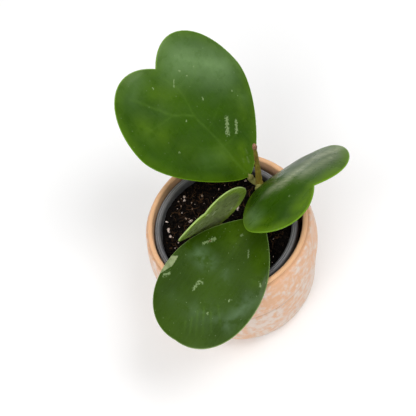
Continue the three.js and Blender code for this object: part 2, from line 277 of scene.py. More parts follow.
@dataclass(frozen=True)
class LeafFinish:
    """The waxy skin of a leaf: veins, painted haze standing in for soft reflections, painted sheen and
    painted light, margin, pale flecks and a matt underside.
    """

    name: str
    deep: Colour = (0.0165, 0.052, 0.0002)
    fresh: Colour = (0.03, 0.082, 0.0006)
    base: Colour = (0.066, 0.145, 0.004)
    vein: Colour = (0.085, 0.17, 0.02)
    # painted reflection haze
    bloom: Colour = (0.19, 0.31, 0.125)
    # painted sheen
    sheen: Colour = (0.34, 0.38, 0.23)
    # painted light along the margin and in lit patches
    glow: Colour = (0.085, 0.17, 0.002)
    margin: Colour = (0.08, 0.17, 0.004)
    margin_width: float = 0.8
    edge: Colour = (0.13, 0.26, 0.01)
    edge_width: float = 0.75
    under: Colour = (0.1, 0.155, 0.05)
    patch: Colour = (0.27, 0.33, 0.16)
    fleck: Colour = (0.2, 0.28, 0.12)
    scar: Colour = (0.09, 0.03, 0.01)
    stalk: Colour = (0.3, 0.3, 0.09)
    shine: float = 0.3
    # how evenly the painted haze shows, and how strongly faint streaks of its colour show
    cloudy: float = 0.2
    streaky: float = 0.02
    speckled: float = 0.3
    speck_size: float = 6.0

    def make(self) -> Material:
        """Builds the material.

        Returns:
            The finished material.
        """
        r = Recipe(self.name)
        flat = r.flat()
        ripple = r.noise(flat, 9.0, 3.0, 0.55)
        mottle = r.noise(flat, 3.4, 4.0, 0.6)
        grain = r.noise(flat, 0.7, 3.0, 0.65)
        fray = r.reach(r.noise(flat, 1.1, 4.0, 0.65), 0.35, 0.65, -0.8, 0.35)
        fleck = r.reach(r.plus(r.attribute("fleck"), fray), 0.0, 0.5, 0.0, 0.85)
        patch = r.reach(r.plus(r.attribute("patch"), r.times(fray, 0.3)), -0.1, 0.2, 0.0, 0.92)
        patch = r.times(patch, r.reach(mottle, 0.3, 0.6, 0.55, 1.0))
        skin = r.coats(
            self.upper(r, flat, ripple, mottle),
            (r.reach(r.attribute("face"), 0.1, -0.3), self.below(r, mottle, grain)),
            *self.rim(r, mottle),
            (r.math("MAXIMUM", fleck, self.specks(r, flat)), self.fleck),
            (patch, self.patch),
            (r.attribute("spot"), self.scar),
            (r.attribute("stalk"), r.mix(r.reach(mottle, 0.35, 0.7), self.stalk, darker(self.stalk, 0.5))),
        )
        rough = r.plus(r.reach(ripple, 0.3, 0.7, self.shine - 0.06, self.shine + 0.1), r.times(patch, 0.2))
        normal = r.bump((grain, 0.01), (mottle, 0.02), (ripple, 0.22))
        return r.finish(
            skin, rough, normal, Specular_IOR_Level=0.11, Coat_Weight=0.04, Coat_Roughness=0.12,
            Subsurface_Weight=0.03, Subsurface_Radius=(0.5, 1.0, 0.1), Subsurface_Scale=1.0 * MM,
        )

    def upper(self, r: Recipe, flat: Value, ripple: Value, mottle: Value) -> Socket:
        """Colours the upper face.

        Args:
            r: The recipe that it is added to.
            flat: The leaf's flat coordinates.
            ripple: Noise of the blade's faint swellings.
            mottle: Finer noise.

        Returns:
            The colour.
        """
        streak = r.noise(r.flat((1.0, 0.12, 1.0)), 1.3, 3.0, 0.6)
        hazy = r.broken("bloom", ripple, 0.32, 0.62, 1.0 - self.cloudy)
        return r.coats(
            self.deep,
            (r.reach(r.noise(flat, 34.0), 0.35, 0.65), self.fresh),
            (r.reach(mottle, 0.2, 0.8, 0.1, 0.3), self.fresh),
            # faint streaks in the painted haze colour
            (r.reach(streak, 0.4, 0.65, 0.0, self.streaky), self.bloom),
            # painted light: a brighter band along the margin, and lit patches
            (r.broken("glow", ripple, 0.3, 0.6, 0.5), self.glow),
            (r.attribute("base"), self.base),
            # painted reflection: patchy pale haze
            (r.times(hazy, r.reach(mottle, 0.2, 0.8, 0.92, 1.0)), self.bloom),
            # painted sheen: pale streaks standing in for reflections
            (r.broken("sheen", streak, 0.35, 0.6, 0.5), self.sheen),
            (r.broken("vein", mottle, 0.25, 0.6, 0.45), self.vein),
        )

    def rim(self, r: Recipe, mottle: Value) -> list[Coat]:
        """A brighter band along the margin, and a crisp pale line at its very edge.

        Args:
            r: The recipe that they are added to.
            mottle: Noise that breaks the band up.

        Returns:
            The two coats.
        """
        width, line = self.margin_width, self.edge_width
        inset = r.plus(r.attribute("margin"), r.reach(mottle, 0.3, 0.7, 0.0, 0.3 * width))
        return [
            (r.reach(inset, width, 0.5 * width, 0.0, 0.8), self.margin),
            (r.reach(r.attribute("margin"), line, 0.4 * line, 0.0, 0.75), self.edge),
        ]

    def below(self, r: Recipe, mottle: Value, grain: Value) -> Socket:
        """Colours the underside.

        Args:
            r: The recipe that it is added to.
            mottle: Noise of its clouds.
            grain: Noise of its specks.

        Returns:
            The colour.
        """
        return r.coats(
            self.under,
            (r.reach(mottle, 0.35, 0.65), darker(self.under, 0.6)),
            (r.reach(grain, 0.56, 0.7, 0.0, 0.55), self.fleck),
            (r.times(r.attribute("vein"), 0.5), self.fleck),
        )

    def specks(self, r: Recipe, flat: Value) -> Socket:
        """Scatters tiny pale specks.

        Args:
            r: The recipe that they are added to.
            flat: The leaf's flat coordinates.

        Returns:
            Up to 1 on a speck and 0 beside it.
        """
        cell = r.node("SeparateColor", {"Color": r.cells(flat, self.speck_size, "Color", "2D")}).outputs[0]
        radius = r.reach(cell, 0.5, 1.0, 0.0, 0.08)
        near = r.math("SUBTRACT", radius, r.cells(flat, self.speck_size, "Distance", "2D"))
        return r.reach(near, 0.0, 0.03, 0.0, self.speckled)


@dataclass(frozen=True)
class EarthenwareFinish:
    """Peach glaze with a whitish wash dabbed over the outside, and painted shade under the collar and the
    lip.
    """

    glaze: Colour = (0.7, 0.425, 0.27)
    clay: Colour = (0.66, 0.38, 0.225)
    lip: Colour = (0.69, 0.405, 0.22)
    wash: Colour = (0.67, 0.51, 0.41)
    chalk: Colour = (0.7, 0.615, 0.56)
    inside: Colour = (0.68, 0.415, 0.25)
    # dark specks, and the painted shade under the collar and the lip
    shade: Colour = (0.4, 0.2, 0.1)

    def make(self) -> Material:
        """Builds the material.

        Returns:
            The finished material.
        """
        r = Recipe("mottled_earthenware")
        dabs = r.noise(r.place((1.0, 1.0, 0.9)), 4.4, 4.0, 0.55)
        streaks = r.noise(r.place((1.0, 1.0, 0.13)), 2.4, 3.0, 0.55)
        pores = r.noise(r.place(), 0.6, 3.0, 0.7)
        patchy = r.reach(dabs, 0.35, 0.65)
        outside = r.attribute("outside")
        cover = r.plus(dabs, r.swing(streaks, 0.2))
        cover = r.plus(cover, r.swing(r.noise(r.place(), 26.0, 2.0), 0.5))
        cover = r.plus(cover, r.times(r.attribute("below"), 0.07))
        wash = r.times(r.reach(cover, 0.4, 0.62), outside)
        body = r.coats(
            self.clay,
            (patchy, self.glaze),
            (r.attribute("lip"), self.lip),
            (r.reach(streaks, 0.4, 0.7, 0.0, 0.25), self.clay),
            (r.times(wash, 0.9), self.wash),
            (r.times(r.reach(cover, 0.54, 0.68, 0.0, 0.65), outside), self.chalk),
            (r.reach(pores, 0.6, 0.75, 0.0, 0.22), self.clay),
            (r.reach(r.cells(r.place(), 3.0), 0.1, 0.04, 0.0, 0.25), self.shade),
            (r.attribute("inside"), r.mix(patchy, self.inside, self.clay)),
            (r.times(r.attribute("ledge"), 0.8), self.wash),
            # painted shade: darkens the outside under the collar and in a line under the lip
            (r.times(r.attribute("groove"), 0.6), self.shade),
        )
        rough = r.reach(wash, 0.0, 1.0, 0.45, 0.65)
        normal = r.bump((pores, 0.05), (dabs, 0.35), (wash, 0.08))
        return r.finish(
            body, rough, normal, Specular_IOR_Level=0.28, Subsurface_Weight=0.03, Subsurface_Scale=1.0 * MM
        )


@dataclass(frozen=True)
class PlasticFinish:
    """Grey moulded plastic, dusty from the mix, with painted shade inside and painted highlights on the rim's
    crests.
    """

    grey: Colour = (0.1, 0.1, 0.106)
    worn: Colour = (0.23, 0.23, 0.235)
    dust: Colour = (0.15, 0.14, 0.13)
    dirt: Colour = (0.02, 0.018, 0.018)

    def make(self) -> Material:
        """Builds the material.

        Returns:
            The finished material.
        """
        r = Recipe("grey_plastic")
        cloud = r.noise(r.place(), 12.0, 4.0)
        scuff = r.noise(r.place((1.0, 1.0, 0.3)), 1.4, 4.0, 0.65)
        grain = r.noise(r.place(), 0.25, 2.0)
        body = r.coats(
            self.grey,
            (r.reach(cloud, 0.4, 0.7, 0.0, 0.5), self.dust),
            (r.reach(scuff, 0.6, 0.75, 0.0, 0.6), self.dust),
            # painted highlights on the rim's crests
            (r.broken("ridge", scuff, 0.3, 0.6, 0.5), self.worn),
            # painted shade: darker further down the inside
            (r.broken("inside", scuff, 0.3, 0.65, 0.35), self.dirt),
        )
        rough = r.reach(scuff, 0.3, 0.7, 0.4, 0.6)
        return r.finish(body, rough, r.bump((grain, 0.02), (scuff, 0.03)), Specular_IOR_Level=0.4)


@dataclass(frozen=True)
class CrumbFinish:
    """Anything that lies in the mix: crumbs, chips, fibres or grains, each a little different."""

    name: str
    dark: Colour
    light: Colour
    wave: float = 3.0
    grain: float = 0.4
    depth: float = 0.15
    rough: float = 0.9

    def make(self) -> Material:
        """Builds the material.

        Returns:
            The finished material.
        """
        r = Recipe(self.name)
        cloud = r.noise(r.place(), self.wave, 4.0, 0.6)
        grain = r.noise(r.place(), self.grain, 3.0, 0.7)
        body = r.coats(
            self.dark,
            (r.attribute("shade"), self.light),
            (r.reach(cloud, 0.35, 0.7, 0.0, 0.6), self.dark),
            (r.reach(grain, 0.5, 0.75, 0.0, 0.35), self.light),
        )
        rough = r.reach(grain, 0.3, 0.7, self.rough - 0.15, min(1.0, self.rough + 0.1))
        return r.finish(body, rough, r.bump((grain, self.depth)), Specular_IOR_Level=0.08)


@dataclass(frozen=True)
class BarkFinish:
    """Olive-brown young bark with fine fissures, and a pinkish healed tip."""

    bark: Colour = (0.21, 0.135, 0.012)
    olive: Colour = (0.23, 0.19, 0.02)
    crack: Colour = (0.08, 0.045, 0.008)
    tip: Colour = (0.16, 0.065, 0.03)
    healed: Colour = (0.35, 0.18, 0.1)
    pale: Colour = (0.42, 0.36, 0.2)

    def make(self) -> Material:
        """Builds the material.

        Returns:
            The finished material.
        """
        r = Recipe("young_bark")
        streak = r.noise(r.place((1.0, 1.0, 0.15)), 0.9, 4.0, 0.6)
        callus = r.mix(r.reach(r.noise(r.place(), 0.8, 3.0, 0.6), 0.35, 0.65), self.tip, self.healed)
        body = r.coats(
            self.bark,
            (r.reach(r.noise(r.place(), 4.0), 0.35, 0.65), self.olive),
            (r.reach(streak, 0.5, 0.66, 0.0, 0.8), self.crack),
            (r.reach(r.cells(r.place((1.0, 1.0, 0.5)), 2.0), 0.16, 0.08, 0.0, 0.6), self.pale),
            (r.attribute("node"), self.pale),
            (r.attribute("tip"), callus),
        )
        return r.finish(body, r.reach(streak, 0.3, 0.7, 0.55, 0.8), r.bump((streak, 0.2)))


@dataclass(frozen=True)
class FloorFinish:
    """A plain pale matt floor."""

    tint: Colour = (0.93, 0.93, 0.93)
    cloud_size: float = 900.0

    def make(self) -> Material:
        """Builds the material.

        Returns:
            The finished material.
        """
        r = Recipe("pale_floor")
        cloud = r.noise(r.place(), self.cloud_size, 2.0)
        tint = r.mix(r.reach(cloud, 0.3, 0.7), self.tint, darker(self.tint, 0.985))
        return r.finish(tint, 0.75, r.bump((cloud, 0.05)))


# ---- modelling ----


def smoothstep(low: float, high: float, value: Array) -> Array:
    """A soft step from 0 at low to 1 at high."""
    t = np.clip((value - low) / (high - low), 0.0, 1.0)
    return t * t * (3.0 - 2.0 * t)


def hump(value: Array, middle: float, width: float) -> Array:
    """1 where the value is at the middle, and smoothly down to 0 on both sides."""
    return np.exp(-(((value - middle) / width) ** 2))


def bezier(start: Flat, handles: tuple[float, ...], count: int) -> Array:
    """A cubic curve.

    Args:
        start: Its first point.
        handles: Two handles and the last point, as six numbers.
        count: How many points it has after the first one.

    Returns:
        The points after the first one.
    """
    a, b, c, d = np.array(start), *np.array(handles, float).reshape(3, 2)
    t = np.linspace(0.0, 1.0, count + 1)[1:, None]
    return (1 - t) ** 3 * a + 3 * (1 - t) ** 2 * t * b + 3 * (1 - t) * t * t * c + t**3 * d


def smooth_line(points: list[Point], count: int, between: int = 40) -> Array:
    """A smooth curve through points, with knots spaced by the root of their distance.

    Args:
        points: What it runs through.
        count: How many even steps it is read in.
        between: How many steps it has from one point to the next before that.

    Returns:
        The points of the curve, one more than the steps.
    """
    p = np.array(points, float)
    p = np.vstack([2 * p[0] - p[1], p, 2 * p[-1] - p[-2]])
    line = [p[1][None]]
    t = np.linspace(0.0, 1.0, between + 1)[1:, None]
    for p0, p1, p2, p3 in zip(p, p[1:], p[2:], p[3:]):
        d0, d1, d2 = (math.sqrt(np.linalg.norm(b - a)) for a, b in ((p0, p1), (p1, p2), (p2, p3)))
        leave = ((p1 - p0) / d0 - (p2 - p0) / (d0 + d1) + (p2 - p1) / d1) * d1
        arrive = ((p2 - p1) / d1 - (p3 - p1) / (d1 + d2) + (p3 - p2) / d2) * d1
        square = -3 * p1 + 3 * p2 - 2 * leave - arrive
        cube = 2 * p1 - 2 * p2 + leave + arrive
        line.append(p1 + leave * t + square * t**2 + cube * t**3)
    return even_points(np.concatenate(line), count)


def even_points(line: Array, count: int) -> Array:
    """Reads a line again in even steps.

    Args:
        line: Its points.
        count: The number of steps.

    Returns:
        The new points, one more than the steps.
    """
    length = np.concatenate([[0.0], np.cumsum(np.linalg.norm(np.diff(line, axis=0), axis=1))])
    even = np.linspace(0.0, length[-1], count + 1)
    return np.stack([np.interp(even, length, column) for column in line.T], axis=1)


def distance(place: Array, start: Array, end: Array) -> Array:
    """How far flat places are from short lines.

    Args:
        place: The places.
        start: One line's first point, or a line's for each place.
        end: The last point, or points.

    Returns:
        The distance of each place.
    """
    span = end - start
    length = np.maximum((span * span).sum(axis=-1), 1e-9)
    share = np.clip(((place - start) * span).sum(axis=-1) / length, 0.0, 1.0)
    return np.linalg.norm(place - start - share[:, None] * span, axis=-1)


def pick(*pieces: Piece) -> None:
    """Selects these pieces and nothing else, and makes the last one active."""
    bpy.ops.object.select_all(action="DESELECT")
    for piece in pieces:
        piece.select_set(True)
        bpy.context.view_layer.objects.active = piece


@contextmanager
def editing() -> Iterator[None]:
    """Opens the active mesh for editing, with all of it selected, and closes it again."""
    bpy.ops.object.mode_set(mode="EDIT")
    bpy.ops.mesh.select_all(action="SELECT")
    yield
    bpy.ops.object.mode_set(mode="OBJECT")


def close_up() -> None:
    """Merges the doubles of the mesh being edited and turns its faces outwards."""
    bpy.ops.mesh.select_all(action="SELECT")
    bpy.ops.mesh.remove_doubles(threshold=WELD)
    bpy.ops.mesh.normals_make_consistent(inside=False)


def spun(name: str, profile: Array, steps: int) -> Piece:
    """Extrudes a profile point by point and spins it round the Z axis.

    Args:
        name: The new object's name.
        profile: Its points as radius and height; it starts and ends on the axis.
        steps: How many steps a full turn has.

    Returns:
        The closed object.
    """
    pick()
    bpy.ops.mesh.primitive_plane_add(size=MM)
    piece = bpy.context.object
    with editing():
        bpy.ops.mesh.merge(type="CENTER")
        bpy.ops.transform.translate(value=(profile[0][0] * MM, 0.0, profile[0][1] * MM))
        for out, up in np.diff(profile, axis=0) * MM:
            bpy.ops.mesh.extrude_region_move(TRANSFORM_OT_translate={"value": (out, 0.0, up)})
        bpy.ops.mesh.select_all(action="SELECT")
        bpy.ops.mesh.spin(steps=steps, angle=math.tau, center=(0.0, 0.0, 0.0), axis=(0.0, 0.0, 1.0))
        close_up()
    piece.name = name
    return piece


def tube(name: str, line: Array, radii: Array, sides: int = 6) -> Piece:
    """A round limb along a line.

    Args:
        name: The new object's name.
        line: Its centre line, in millimetres.
        radii: Its radius at each point of the line.
        sides: A quarter of its sides, less one.

    Returns:
        The closed limb as a mesh.
    """
    pick()
    bpy.ops.curve.primitive_nurbs_path_add()
    data = bpy.context.object.data
    data.splines.clear()
    spline = data.splines.new("POLY")
    spline.points.add(len(line) - 1)
    for point, place, radius in zip(spline.points, line, radii):
        point.co = (*(place * MM), 1.0)
        point.radius = radius
    data.dimensions = "3D"
    data.bevel_depth = MM
    data.bevel_resolution = sides
    data.use_fill_caps = True
    bpy.ops.object.convert(target="MESH")
    limb = bpy.context.object
    with editing():
        close_up()
    limb.name = name
    return limb


def add_object(name: str, data: bpy.types.ID) -> Piece:
    """Puts a mesh, a light or a camera in the scene as a new object."""
    new = bpy.data.objects.new(name, data)
    bpy.context.collection.objects.link(new)
    return new


def corners(piece: Piece) -> Array:
    """A mesh's vertices, in millimetres."""
    place = np.empty(3 * len(piece.data.vertices), np.float32)
    piece.data.vertices.foreach_get("co", place)
    return place.reshape(-1, 3).astype(float) / MM


def move_corners(piece: Piece, place: Array) -> None:
    """Puts a mesh's vertices elsewhere, in millimetres."""
    piece.data.vertices.foreach_set("co", (place * MM).astype(np.float32).ravel())
    piece.data.update()


def paint(piece: Piece, **values: Array) -> None:
    """Stores numbers at each vertex, for the materials.

    Args:
        piece: The mesh.
        **values: An array for each attribute.
    """
    for name, numbers in values.items():
        stored = piece.data.attributes.new(name, "FLOAT", "POINT")
        stored.data.foreach_set("value", np.ascontiguousarray(numbers, np.float32))


def apply_modifier(piece: Piece, kind: str, **settings: float | int | bool | str | bpy.types.ID) -> None:
    """Adds a modifier and applies it.

    Args:
        piece: The mesh.
        kind: The modifier's type.
        **settings: Its properties.
    """
    pick(piece)
    bpy.ops.object.modifier_add(type=kind)
    modifier = piece.modifiers[-1]
    for key, setting in settings.items():
        setattr(modifier, key, setting)
    bpy.ops.object.modifier_apply(modifier=modifier.name)


def roughen(piece: Piece, wave: float, depth: float) -> None:
    """Pushes a surface in and out by cloudy noise.

    Args:
        piece: The mesh.
        wave: The size of the clouds, in millimetres.
        depth: From the lowest to the highest place, in millimetres.
    """
    clouds = bpy.data.textures.new(piece.name, "CLOUDS")
    clouds.noise_scale = wave * MM
    clouds.noise_depth = 3
    apply_modifier(
        piece, "DISPLACE", texture=clouds, strength=depth * MM, mid_level=0.5, texture_coords="LOCAL"
    )


def round_edges(piece: Piece, width: float, segments: int, sharp: float) -> None:
    """Rounds the edges that turn by more than an angle in radians; the width is in millimetres."""
    apply_modifier(
        piece, "BEVEL", width=width * MM, segments=segments, limit_method="ANGLE", angle_limit=sharp
    )


def smooth(piece: Piece, sharp: float | None = None) -> None:
    """Shades a mesh smooth.

    Args:
        piece: The mesh.
        sharp: The angle from which an edge stays sharp, in degrees, if any does.
    """
    pick(piece)
    if sharp is None:
        bpy.ops.object.shade_smooth()
    else:
        bpy.ops.object.shade_smooth_by_angle(angle=math.radians(sharp))


def dress(piece: Piece, material: Material, slot: Slot, *nodes: str) -> None:
    """Gives a piece its material and its place in the part.

    Args:
        piece: The finished mesh.
        material: Its only material.
        slot: The record's slot that it stands for; not used.
        *nodes: The solids that it replaces.
    """
    piece.data.materials.clear()
    piece.data.materials.append(material)
    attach(piece, "root")
    if nodes:
        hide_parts(*nodes)
    LOG.info("%s: %d faces", piece.name, len(piece.data.polygons))


# ---- pots ----


@dataclass
class CoverPot:
    """The cover pot: rounded foot, plain body, groove, bulging collar and a rounded lip."""

    base_radius: float = 41.0
    base_flat: float = 40.0
    outside: tuple[tuple[float, ...], ...] = (
        (46, 0.4, 50.7, 10, 52.3, 21),
        (53.3, 33, 55.4, 47, 54.9, 58.6),
        (56.8, 58.9, 56.8, 62, 56.8, 66),
        (56.4, 74, 55.2, 79, 54.2, 86.6),
        (53.9, 87.8, 52.6, 88.2, 51.7, 88.7),
    )
    outside_steps: int = 16
    inside: tuple[Flat, ...] = ((48.95, 88.8), (49.45, 62), (47.3, 24), (41, 8.5), (36, 6))
    inside_steps: int = 48
    floor: float = 6.0
    floor_ring: float = 18.0
    lip_height: float = 92.0
    lip_inner: float = 48.95
    lip_round: float = 1.6
    lip_start: float = -0.6
    lip_points: int = 22
    steps: int = 288
    edge_round: float = 0.1
    lip_glaze: Flat = (87.6, 88.6)  # the heights between which it begins
    neck: Flat = (88.4, 0.5)  # height and width of the painted shade line under the lip
    ledge: Flat = (60.2, 0.9)  # height and width of the collar's foot
    groove: Flat = (53.8, 57.4)  # the heights between which the painted shade under the collar begins
    # the height above which no shade is painted under the collar
    groove_top: float = 59.0
    body_wash: Flat = (60.0, 56.0)  # the heights between which the body's wash begins
    skin: Flat = (1.8, 0.8)  # the distances from the hollow between which the inside begins
    hollow: Flat = (1.0, 89.8)  # the heights between which the inside lies
    # how dark the painted shade line under the lip is
    neck_depth: float = 0.7
    waist: float = 50.0  # the grooves lie outside this radius

    def profile(self) -> Array:
        """The turned outline, from the middle of the base round to the middle of the floor.

        Returns:
            Radius and height of each point.
        """
        start = (self.base_radius, 0.0)
        points = [np.array([[0.0, 0.0], [0.5 * self.base_radius, 0.0], [self.base_flat, 0.0], start])]
        for handles in self.outside:
            points.append(bezier(start, handles, self.outside_steps))
            start = handles[-2:]
        turn = np.linspace(self.lip_start, math.pi, self.lip_points)
        out = self.lip_inner + self.lip_round + self.lip_round * np.cos(turn)
        up = self.lip_height - self.lip_round + self.lip_round * np.sin(turn)
        points.append(np.stack([out, up], 1))
        points.append(smooth_line([(r, z, 0.0) for r, z in self.inside], self.inside_steps)[:, :2])
        points.append(np.array([[self.floor_ring, self.floor], [0.0, self.floor]]))
        return np.concatenate(points)

    def mark(self, pot: Piece) -> None:
        """Marks the lip, the outside, the inside and the ledge for the glaze, and where shade is painted
        under the collar and under the lip.

        Args:
            pot: The pot's mesh.
        """
        place = corners(pot)
        radius, height = np.hypot(place[:, 0], place[:, 1]), place[:, 2]
        wall = np.array(self.inside)[::-1]
        thick = radius - np.interp(height, wall[:, 1], wall[:, 0], left=0.0)
        low, high = self.hollow
        within = smoothstep(*self.skin, thick) * (height < high) * (height > low)
        lip = smoothstep(*self.lip_glaze, height)
        # painted shade: darker up towards the collar's overhang, and a thin line under the lip
        groove = smoothstep(*self.groove, height) * (height < self.groove_top)
        groove = groove + self.neck_depth * hump(height, *self.neck)
        shown = (1.0 - within) * (radius > self.waist)
        paint(
            pot,
            lip=lip,
            outside=(1.0 - lip) * (1.0 - within),
            inside=within,
            below=smoothstep(*self.body_wash, height),
            ledge=hump(height, *self.ledge) * shown,
            groove=groove * shown,
        )

    def make(self, finish: EarthenwareFinish) -> None:
        """Builds and dresses the pot.

        Args:
            finish: Its glaze.
        """
        pot = spun("earthenware_pot", self.profile(), self.steps)
        round_edges(pot, self.edge_round, 1, 1.0)
        self.mark(pot)
        smooth(pot)
        dress(pot, finish.make(), Slot.EARTHENWARE, "outer_pot")


@dataclass
class GrowerPot:
    """The plastic pot inside: tapered wall, ridged rim with a skirt, and holes in its floor."""

    centre: Flat = (-1.5, 0.45)
    bottom: float = 6.3
    rim_height: float = 86.9
    rim_radius: float = 47.0
    rim_depth: float = 8.0
    rim_thick: float = 2.0
    ridges: tuple[Flat, ...] = (  # inset from the rim and drop from its top
        (0, 1.4), (0.15, 0.75), (0.5, 0.4), (0.8, 0.12), (1.1, 0), (1.4, 0.12),
        (1.6, 0.42), (1.85, 0.42), (2.05, 0.1), (2.3, 0), (2.6, 0.1), (2.85, 0.36),
    )
    crests: tuple[float, ...] = (0.25, 1.15, 2.35)  # insets of the crests that carry painted highlights
    crest_width: float = 0.28
    skirt: float = 1.1
    mouth_radius: float = 43.3
    mouth_drop: float = 0.9
    throat_radius: float = 43.0
    throat_drop: float = 3.4
    bottom_radius: float = 33.4
    wall: float = 1.2
    floor: float = 1.3
    drain_holes: int = 7
    drain_radius: float = 4.0
    drain_circle: float = 24.0
    drill_length: float = 8.0
    drill_sides: int = 24
    edge_round: float = 0.12
    sharp: float = 35.0
    steps: int = 192

    def profile(self) -> Array:
        """The turned outline.

        Returns:
            Radius and height of each point.
        """
        top = self.rim_height
        wall_out = self.throat_radius + self.wall
        skirt_in = self.rim_radius - self.skirt
        points = [
            (0, self.bottom),
            (self.bottom_radius, self.bottom),
            (self.bottom_radius + self.wall, self.bottom + self.floor),
            (wall_out, top - self.throat_drop),
            (wall_out, top - self.rim_thick),
            (skirt_in, top - self.rim_thick),
            (skirt_in, top - self.rim_depth),
            (self.rim_radius, top - self.rim_depth),
            *((self.rim_radius - inset, top - drop) for inset, drop in self.ridges),
            (self.mouth_radius, top - self.mouth_drop),
            (self.throat_radius, top - self.throat_drop),
            (self.bottom_radius, self.bottom + self.floor),
            (0, self.bottom + self.floor),
        ]
        return np.array(points, float)

    def drill(self, pot: Piece) -> None:
        """Drills the drain holes.

        Args:
            pot: The pot's mesh.
        """
        for turn in np.arange(self.drain_holes) / self.drain_holes * math.tau:
            middle = (self.drain_circle * math.cos(turn), self.drain_circle * math.sin(turn), self.bottom)
            pick()
            bpy.ops.mesh.primitive_cylinder_add(
                vertices=self.drill_sides,
                radius=self.drain_radius * MM,
                depth=self.drill_length * MM,
                location=tuple(c * MM for c in middle),
            )
            bit = bpy.context.object
            apply_modifier(pot, "BOOLEAN", object=bit, operation="DIFFERENCE", solver="EXACT")
            bpy.data.objects.remove(bit)

    def mark(self, pot: Piece) -> None:
        """Marks the inside, where painted shade deepens further down, and the crests of the rim, for painted
        highlights.

        Args:
            pot: The pot's mesh, still round the Z axis.
        """
        place = corners(pot)
        radius, height = np.hypot(place[:, 0], place[:, 1]), place[:, 2]
        drop = self.rim_height - height
        within = smoothstep(self.throat_radius + 0.6, self.throat_radius + 0.1, radius) * (height > 9.0)
        ridge = sum(hump(self.rim_radius - radius, crest, self.crest_width) for crest in self.crests)
        paint(pot, inside=within * smoothstep(1.5, 6.0, drop), ridge=ridge * (drop < 0.6))

    def make(self, finish: PlasticFinish) -> None:
        """Builds and dresses the pot.

        Args:
            finish: Its plastic.
        """
        pot = spun("plastic_pot", self.profile(), self.steps)
        self.drill(pot)
        round_edges(pot, self.edge_round, 2, 0.6)
        self.mark(pot)
        move_corners(pot, corners(pot) + (*self.centre, 0.0))
        smooth(pot, self.sharp)
        dress(pot, finish.make(), Slot.GREY_PLASTIC, "grower_pot")


# ---- the mix ----


@dataclass
class Strewn:
    """One kind of small thing that lies in the mix, modelled once and copied by a seeded rule."""

    name: str
    count: int
    smallest: float
    largest: float
    finish: CrumbFinish
    seed: int
    squash: float = 0.7
    stretch: float = 1.0
    sunk: float = 0.2
    faces: int = 1
    spots: tuple[Point, ...] = ()
    reach: float = 41.3
    uneven: float = 0.13  # how far its vertices are moved, as a share of its size
    tilt: float = 0.35
    mostly_small: float = 2.5  # the power that makes large ones rare

    def model(self) -> tuple[Array, Array]:
        """The shape that is copied.

        Returns:
            Its vertices, about 1 across, and its triangles.
        """
        pick()
        bpy.ops.mesh.primitive_ico_sphere_add(subdivisions=self.faces, radius=0.5)
        shape = bpy.context.object
        with editing():
            bpy.ops.transform.vertex_random(offset=self.uneven, seed=self.seed)
        place = np.array([v.co for v in shape.data.vertices])
        faces = np.array([p.vertices[:] for p in shape.data.polygons])
        bpy.data.objects.remove(shape)
        return place, faces

    def build(self, mix: "PottingMix") -> Piece:
        """Copies the shape over the mix.

        Args:
            mix: What it lies on.

        Returns:
            All the copies as one piece.
        """
        shape, faces = self.model()
        draw = np.random.default_rng(self.seed)
        places, shades = [], []
        spots = list(self.spots)
        while len(places) < self.count:
            turn = draw.random() * math.tau
            out = math.sqrt(draw.random()) * self.reach
            size = self.smallest + (self.largest - self.smallest) * draw.random() ** self.mostly_small
            x, y = out * math.cos(turn), out * math.sin(turn)
            if spots:
                x, y, size = spots.pop()
                x, y = x - mix.centre[0], y - mix.centre[1]
            spin = Matrix.Rotation(draw.random() * math.tau, 3, "Z")
            nod, roll = (Matrix.Rotation(draw.normal() * self.tilt, 3, axis) for axis in "XY")
            stretch = size * np.array([self.stretch * (0.8 + 0.5 * draw.random()), 1.0, self.squash])
            turned = (shape * stretch) @ np.array(spin @ (nod @ roll)).T
            within = math.hypot(x, y) + 0.6 * size * self.stretch < self.reach + 0.7
            if within and mix.clear_of_stems(x, y, size):
                low = mix.top(x, y)
                places.append(turned + (x, y, low + size * (0.5 * self.squash - self.sunk)))
                shades.append(np.full(len(shape), draw.random()))
        return self.merged(np.array(places) + (*mix.centre, 0.0), np.concatenate(shades), faces)

    def merged(self, places: Array, shades: Array, faces: Array) -> Piece:
        """Writes all the copies in one mesh.

        Args:
            places: The vertices of each copy.
            shades: The shade of each vertex.
            faces: One copy's faces.

        Returns:
            The piece.
        """
        mesh = bpy.data.meshes.new(self.name)
        first = np.arange(len(places))[:, None, None] * places.shape[1]
        faces = (faces + first).reshape(-1, faces.shape[1])
        mesh.from_pydata((places.reshape(-1, 3) * MM).tolist(), [], faces.tolist())
        piece = add_object(self.name, mesh)
        paint(piece, shade=shades)
        smooth(piece)
        return piece


@dataclass
class Fibres(Strewn):
    """Thin brown strands that lie in the mix."""

    rings: int = 6
    sides: int = 3
    girth: float = 0.055
    bow: float = 0.16
    lift: float = 0.1

    def model(self) -> tuple[Array, Array]:
        """A bowed strand of three sides, thin at its ends.

        Returns:
            Its vertices, 1 long, and its faces.
        """
        along = np.linspace(-0.5, 0.5, self.rings)
        turn = np.arange(self.sides) / self.sides * math.tau
        x, a = np.meshgrid(along, turn, indexing="ij")
        radius = self.girth * (0.5 * np.sqrt(1.0 - (1.7 * x) ** 2))
        bowed = self.bow * np.cos(x * 5.0)
        place = np.stack([x, bowed + radius * np.cos(a), radius * np.sin(a) + self.lift * x * x], axis=-1)
        ring = np.arange(self.rings * self.sides).reshape(self.rings, self.sides)
        near, far = ring[:-1], ring[1:]
        quads = np.stack([near, far, np.roll(far, -1, 1), np.roll(near, -1, 1)], axis=-1).reshape(-1, 4)
        ends = [[0, 1, 2, 2], [ring[-1][2], ring[-1][1], ring[-1][0], ring[-1][0]]]
        return place.reshape(-1, 3), np.array([*quads.tolist(), *ends])


